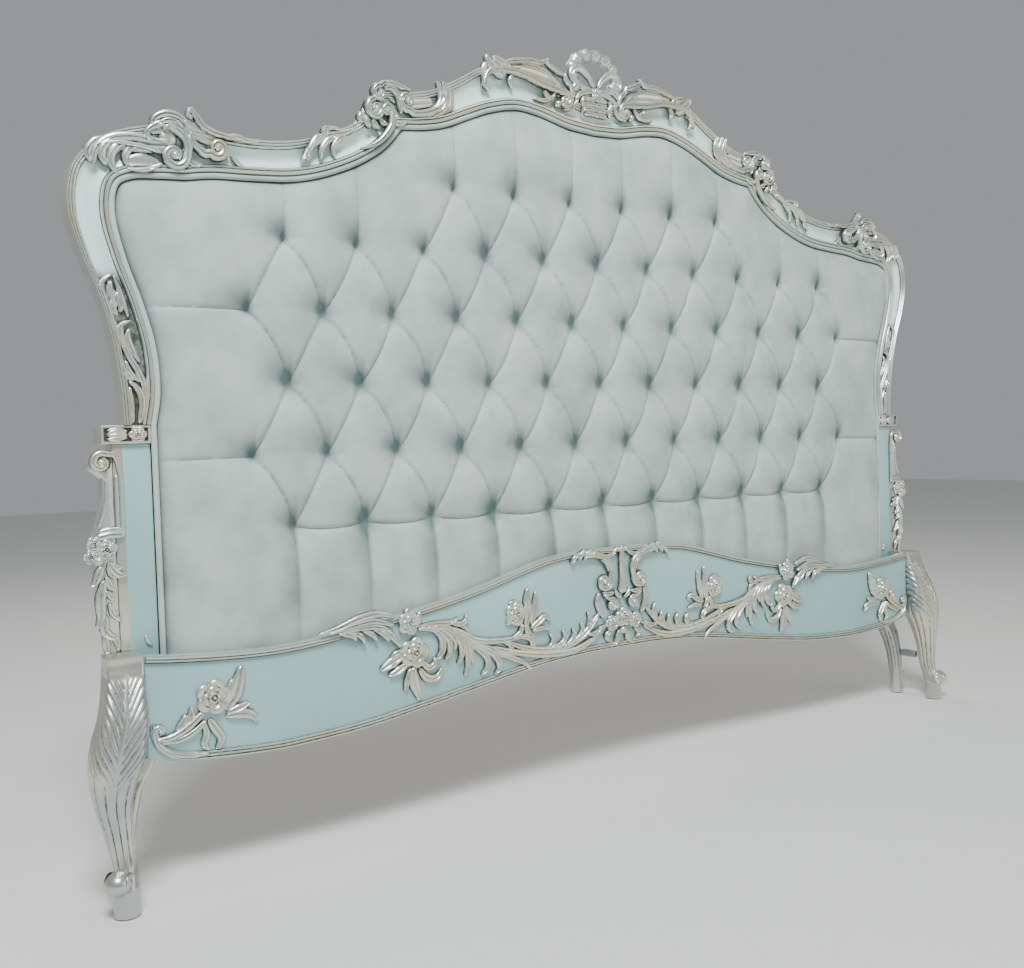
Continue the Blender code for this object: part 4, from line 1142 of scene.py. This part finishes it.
# ---------------------------------------------------------------- footboard
def double_bead(name, path, width, profile, nodes):
    """A planted bead with the given section along a line on the footboard's field."""
    left, right = path + sideways(path) * width / 2, path - sideways(path) * width / 2
    base = FIELD_Y - 0.0002
    section = np.array([(0, 0, .1)] + profile + [(1, 0, .1), (0, 0, .1)])

    def place(u, v):
        at = np.rint(u * (len(path) - 1)).astype(int)
        around = np.rint(v * (len(section) - 1)).astype(int)
        share = section[around, 0][:, None]
        flat = left[at] * (1 - share) + right[at] * share
        return np.column_stack([flat[:, 0], base - section[around, 1], flat[:, 1]]), section[around, 2], 0.0

    bm = new_shape()
    lay_grid(bm, len(path) - 1, len(section) - 1, place)
    close_ends(bm)
    finish_leafed(name, bm, nodes, 60)


class BED_OT_footboard(bpy.types.Operator):
    """Models the lacquered footboard panel with its beaded edges"""
    bl_idname = "bed.footboard"
    bl_label = "Footboard Panel and Beads"

    def execute(self, context):
        top, bottom = mirrored(in_metres(RAIL_TOP, 8)), mirrored(in_metres(RAIL_BOTTOM, 8))
        bm = new_shape()
        plate(bm, np.vstack([top, bottom[::-1]]), FIELD_Y, FIELD_Y + 0.018, 0.0012)
        for panel in bm.faces:
            panel.material_index = int(abs(panel.normal.z) > 0.5)
        finish_piece("footboard_field", bm, [lacquer_material(), frame_silver()],
                     ["footboard_panel"], 40)

        path = mirrored(in_metres([(974.7, -183.4)] + RAIL_TOP[1:], 10))
        double_bead("footboard_top_bead", path + sideways(path) * -0.0068, 0.0115,
                    [(0.06, .0046, .9), (0.20, .0060, 1), (0.34, .0052, .9), (0.44, .0024, .05),
                     (0.54, .0036, .8), (0.66, .0052, 1), (0.78, .0040, .8), (0.86, .0012, 0),
                     (0.94, .0008, 0)],
                    ["top_bead"])
        path = mirrored(in_metres(BOTTOM_BEAD, 10))
        double_bead("footboard_bottom_bead", path, 0.014,
                    [(0.05, .0030, .8), (0.16, .0046, 1), (0.28, .0034, .6), (0.36, .0016, .1),
                     (0.44, .0034, .7), (0.55, .0054, 1), (0.66, .0036, .7), (0.74, .0018, .1),
                     (0.84, .0048, 1), (0.95, .0040, .9)],
                    ["bottom_bead"])
        return {"FINISHED"}


class BED_OT_footboard_carving(bpy.types.Operator):
    """Models the sprays, roses and the lyre-shaped cartouche planted on the footboard"""
    bl_idname = "bed.footboard_carving"
    bl_label = "Footboard Carving"

    def execute(self, context):
        groups = (("top_leaf", TOP_LEAF, [], ["top_leaf"], [((508, -187), 21, 14, 4)]),
                  ("outer_spray", OUTER_SPRAY, [], ["spray_outer", "lower_rose"], [((497, -244), 27, 18, 0)]),
                  ("inner_spray", INNER_SPRAY, [], ["spray_inner"], []),
                  ("upper_rose_spray", UPPER_SPRAY, [], ["upper_rose"], [((270, -199), 23, 16, 0)]),
                  ("leg_rose_spray", LEG_SPRAY, LEG_SCROLLS, ["leg_spray", "leg_rose"],
                   [((871, -266), 27, 17, 0)]))
        for label, side in SIDES:
            face = flat_face(side, FIELD_Y + 0.0002)
            for name, marks, scrolls, nodes, roses in groups:
                bm = new_shape()
                carve(bm, face, marks, scrolls)
                for centre, radius, height, lift in roses:
                    carve_rose(bm, face, centre, radius, height, lift, turn=35)
                finish_leafed(f"{name}_{label}", bm, [f"{node}_{label}" for node in nodes])
        bm = new_shape()
        for _, side in SIDES:
            face = flat_face(side, FIELD_Y + 0.0002)
            carve(bm, face, CARTOUCHE, CARTOUCHE_SCROLLS)
            carve_rose(bm, face, (31, -246), 16, 16, 2)
            carve_bud(bm, face, (9, -92), 6, 12, 2)
        carve_rose(bm, flat_face(1, FIELD_Y + 0.0002), (0, -236), 20, 19, 2, turn=18)
        carve_bud(bm, flat_face(1, FIELD_Y + 0.0002), (0, -264), 10, 14, 0)
        finish_leafed("lyre_cartouche", bm, ["centre_cartouche"])
        return {"FINISHED"}


# ---------------------------------------------------------------- legs
# Levels of a leg in millimetres: height, way outwards, way backwards, half width and squareness.
FOOT_LEG = [(392, 0, 0, 28.5, 14), (372, 0, -2, 28.3, 12), (340, 3.5, -14, 31, 6), (300, 8, -27, 36, 4),
            (265, 16, -30, 40, 3.4), (230, 22, -31, 41, 3), (200, 28, -34, 35, 2.7), (165, 30, -38, 28, 2.4),
            (126, 26, -44, 22.5, 2.3), (95, 23, -48, 20, 2.2), (70, 21, -56, 19, 2.1), (50, 21, -63, 20, 2),
            (40, 22, -66, 20.5, 2), (0, 22, -66, 20.5, 2)]
HEAD_LEG = [(210, 0, 0, 24.5, 10), (190, 6, -4, 23.5, 6), (165, 18, -12, 20.5, 4), (130, 26, -17, 18.5, 3),
            (100, 30, -20, 17.8, 2.5), (70, 32, -22, 17.2, 2.2), (50, 34, -23, 17.2, 2),
            (36, 35, -23, 16.8, 2), (0, 35, -23, 16.8, 2)]


def foot_leg_relief(turn, z):
    """An acanthus leaf down the leg's front, feathered to each side of its rib, and reeds to the ankle."""
    rib = 8 - 40 * (z - 0.20)
    inward, outward = np.clip(rib - turn, 0, 130) / 90, np.clip(turn - rib, 0, 130) / 90
    sweep = z - 0.075 * np.sin(np.minimum(inward, 1.4) * 1.5) - 0.110 * outward ** 0.8
    flutes = np.abs(np.sin(math.pi * sweep / 0.0165)) ** 0.6
    nicks = 0.5 + 0.5 * np.cos(2 * math.pi * sweep / 0.0330)
    reeds = np.abs(np.cos(math.pi * (turn - rib - 8) / 30)) ** 0.6
    aside = np.abs(turn - rib)
    feather = step_up(z, 0.165 + 0.0006 * aside, 0.215 + 0.0006 * aside)
    feather = feather * (1 - step_up(z, 0.352, 0.368)) * (1 - step_up(aside, 108, 124)) * step_up(aside, 3, 9)
    reeded = step_up(z, 0.062, 0.085) * (1 - step_up(z, 0.335, 0.365)) * (1 - step_up(aside, 112, 128))
    reeded = reeded * (1 - feather) * step_up(aside, 3, 8)
    return feather * flutes * (0.82 + 0.18 * nicks) + reeded * reeds, feather + reeded


def head_leg_relief(turn, z):
    """A few plain reeds down the leg."""
    reeds = np.abs(np.cos(math.pi * turn / 36)) ** 0.7
    reeded = step_up(z, 0.050, 0.070) * (1 - step_up(z, 0.165, 0.190))
    return reeded * reeds, reeded


def lay_leg(bm, side, top_centre, levels, relief, depth, columns, rows):
    """The leg's body: rings from its square top to its round toe, cut by its flutes and reeds."""
    shape = smooth_line(np.array(levels, float), 12)
    height = -shape[:, 0]

    def place(u, v):
        z = (1 - v) * levels[0][0]
        z = np.where(v >= 1, 0, z)
        outwards, backwards, half, square = (np.interp(-z, height, shape[:, axis]) for axis in (1, 2, 3, 4))
        angle = u * math.tau
        front, outer = np.cos(angle), np.sin(angle)
        bulge = (np.abs(front) ** square + np.abs(outer) ** square) ** (-1 / square)
        turn = np.degrees(np.arctan2(outer, front))
        lines, masked = relief(turn, z / 1000)
        radius = (half * bulge - masked * depth * (1 - lines)) / 1000
        radius = np.where((v <= 0) | (v >= 1), 0, radius)
        x = side * (top_centre[0] + outwards / 1000 + radius * outer)
        y = top_centre[1] + backwards / 1000 - radius * front
        z = np.where(v <= 0, levels[0][0], z) / 1000
        return np.column_stack([x, y, z]), np.clip(1 - masked * (1 - lines) * 0.95, 0.08, 1), 0.0

    lay_grid(bm, columns, rows, place)


def toe_ball(bm, centre, radius, out):
    """The ball that the leg's reeds curl over, with a small volute on each side."""
    ball = bmesh.ops.create_uvsphere(bm, u_segments=40, v_segments=24, radius=radius)["verts"]
    bmesh.ops.scale(bm, vec=(1.0, 1.0, 0.92), verts=ball)
    bmesh.ops.translate(bm, vec=centre, verts=ball)
    set_tone(bm, ball, 0.85)
    forward = np.array(out) / np.hypot(*out)
    for end in (-1, 1):
        across = np.array([-forward[1], forward[0]]) * end

        def cheek(a, b, h, across=across):
            flat = np.array(centre)[None, :2] + forward[None] * (a - 0.004)[:, None]
            flat = flat + across[None] * h[:, None]
            return np.column_stack([flat, centre[2] + b])

        carve_stroke(bm, cheek, spiral((0, 0), radius * 640, 150, -1.35), [4, 6, 5, 4], 4, radius * 780,
                     around=8)
        carve_bud(bm, cheek, (0, 0), radius * 300, 5, radius * 800)


class BED_OT_legs(bpy.types.Operator):
    """Models the carved cabriole legs of the footboard and the slimmer ones of the headboard"""
    bl_idname = "bed.legs"
    bl_label = "Cabriole Legs"

    def execute(self, context):
        for label, side in SIDES:
            for kind, (x, y), levels, relief, cut, grid, ball, radius, out in (
                    ("foot", FOOT_LEG_TOP, FOOT_LEG, foot_leg_relief, 3.2, (180, 210),
                     (0.035, -0.072, 0.054), 0.0205, (0.024, -0.030)),
                    ("head", HEAD_LEG_TOP, HEAD_LEG, head_leg_relief, 2.4, (96, 110),
                     (0.043, -0.028, 0.050), 0.0125, (0.020, -0.016))):
                bm = new_shape()
                lay_leg(bm, side, (x, y), levels, relief, cut, *grid)
                toe_ball(bm, (side * (x + ball[0]), y + ball[1], ball[2]), radius, (side * out[0], out[1]))
                finish_piece(f"{kind}_leg_{label}", bm, [leg_silver()],
                             [f"{kind}board_leg_{label}"], 60)
        return {"FINISHED"}


class BED_OT_fittings(bpy.types.Operator):
    """Gives the backing board, the apron and the steel fittings their finishes"""
    bl_idname = "bed.fittings"
    bl_label = "Board and Fittings"

    def execute(self, context):
        timber, steel = timber_material(), steel_material()
        finishes = {"backing_board": timber, "headboard_apron": timber}
        for label, _ in SIDES:
            for node in ("headboard_hook_plate", "footboard_hook_plate", "spacer_bar"):
                finishes[f"{node}_{label}"] = steel
        for node, material in finishes.items():
            for material_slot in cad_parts[node].material_slots:
                material_slot.material = material
        return {"FINISHED"}


# ---------------------------------------------------------------- stage
class BED_OT_stage(bpy.types.Operator):
    """Lays the pale floor, hangs the studio lights and sets up the camera"""
    bl_idname = "bed.stage"
    bl_label = "Floor, Lights and Camera"

    def execute(self, context):
        scene = context.scene
        paper = blank_material("matt_paper_floor")
        place = add_node(paper, "ShaderNodeTexCoord").outputs["Object"]
        fibre = add_node(paper, "ShaderNodeTexNoise", {"Scale": 30.0}, {"Vector": place})
        rough = add_node(paper, "ShaderNodeMapRange", {"To Min": 0.75, "To Max": 0.9},
                         {"Value": fibre.outputs["Fac"]})
        shader = add_node(paper, "ShaderNodeBsdfPrincipled", {"Base Color": (*linear("#DEDFDC"), 1)},
                          {"Roughness": rough.outputs[0]})
        close_material(paper, shader)
        bm = bmesh.new()
        bmesh.ops.create_grid(bm, x_segments=2, y_segments=2, size=12.0)
        bmesh.ops.translate(bm, verts=bm.verts, vec=(0, 0, -0.0005))
        mesh = bpy.data.meshes.new("floor")
        bm.to_mesh(mesh)
        bm.free()
        mesh.materials.append(paper)
        floor = bpy.data.objects.new("floor", mesh)
        scene.collection.objects.link(floor)

        world = bpy.data.worlds.new("studio")
        world.use_nodes = True
        world.node_tree.nodes["Background"].inputs["Color"].default_value = (*linear("#E6EAEB"), 1)
        world.node_tree.nodes["Background"].inputs["Strength"].default_value = 0.42
        scene.world = world
        middle = Vector((0, 0, 0.8))
        for name, spot, size, power, colour in (("key", (-1.5, -2.0, 4.1), 1.3, 255, "#FAFFFF"),
                                                ("fill", (2.6, -3.6, 1.6), 2.2, 34, "#FFF1DC"),
                                                ("rim", (0.5, 2.6, 3.2), 2.0, 40, "#FFF8EE")):
            light = bpy.data.lights.new(name, "AREA")
            light.shape, light.size, light.energy = "SQUARE", size, power
            light.color = linear(colour)
            lamp = bpy.data.objects.new(name, light)
            lamp.location = spot
            lamp.rotation_mode = "QUATERNION"
            lamp.rotation_quaternion = (middle - Vector(spot)).to_track_quat("-Z", "Y")
            scene.collection.objects.link(lamp)

        yaw, pitch, roll = (math.radians(value) for value in (-33.228, 2.325, -1.659))
        lens = bpy.data.cameras.new("camera")
        lens.lens, lens.sensor_width, lens.dof.use_dof = 35.156, 36.0, False
        camera = bpy.data.objects.new("camera", lens)
        camera.rotation_mode = "QUATERNION"
        turn = np.array([[math.cos(yaw), math.sin(yaw), 0], [-math.sin(yaw), math.cos(yaw), 0], [0, 0, 1]])
        tip = np.array([[1, 0, 0], [0, math.cos(pitch), -math.sin(pitch)],
                        [0, math.sin(pitch), math.cos(pitch)]])
        tilt = np.array([[math.cos(roll), -math.sin(roll), 0], [math.sin(roll), math.cos(roll), 0],
                         [0, 0, 1]])
        level = np.array([[1, 0, 0], [0, 0, -1], [0, 1, 0]])
        view = np.diag([1, -1, -1]) @ tilt @ level @ tip @ turn
        camera.rotation_quaternion = Matrix(view.T.tolist()).to_quaternion()
        camera.location = (-1.3461, HEAD_Y - 1.7001, TUFT_Z + 0.1377)
        scene.collection.objects.link(camera)
        scene.camera = camera
        return {"FINISHED"}


# ---------------------------------------------------------------- panel and registration
OPERATORS = (BED_OT_upholstery, BED_OT_headboard_frame, BED_OT_headboard_carving, BED_OT_posts,
             BED_OT_footboard, BED_OT_footboard_carving, BED_OT_legs, BED_OT_fittings, BED_OT_stage)


class BED_PT_panel(bpy.types.Panel):
    """Lists the bed's settings and the steps that build it"""
    bl_idname = "BED_PT_panel"
    bl_label = "Carved Display Bed"
    bl_space_type = "VIEW_3D"
    bl_region_type = "UI"
    bl_category = "Bed"

    def draw(self, context):
        for group in settings():
            box = self.layout.box()
            for key in group.bl_rna.properties.keys():
                if key not in ("rna_type", "name"):
                    box.prop(group, key)
        for operator in OPERATORS:
            self.layout.operator(operator.bl_idname)


CLASSES = (BedUpholsterySettings, BedFinishSettings) + OPERATORS + (BED_PT_panel,)


def register():
    for each in CLASSES:
        bpy.utils.register_class(each)
    bpy.types.Scene.bed_upholstery = bpy.props.PointerProperty(type=BedUpholsterySettings)
    bpy.types.Scene.bed_finish = bpy.props.PointerProperty(type=BedFinishSettings)


def unregister():
    del bpy.types.Scene.bed_finish
    del bpy.types.Scene.bed_upholstery
    for each in reversed(CLASSES):
        bpy.utils.unregister_class(each)


def main():
    register()
    for operator in OPERATORS:
        group, name = operator.bl_idname.split(".")
        getattr(getattr(bpy.ops, group), name)()


if __name__ == "__main__":
    main()
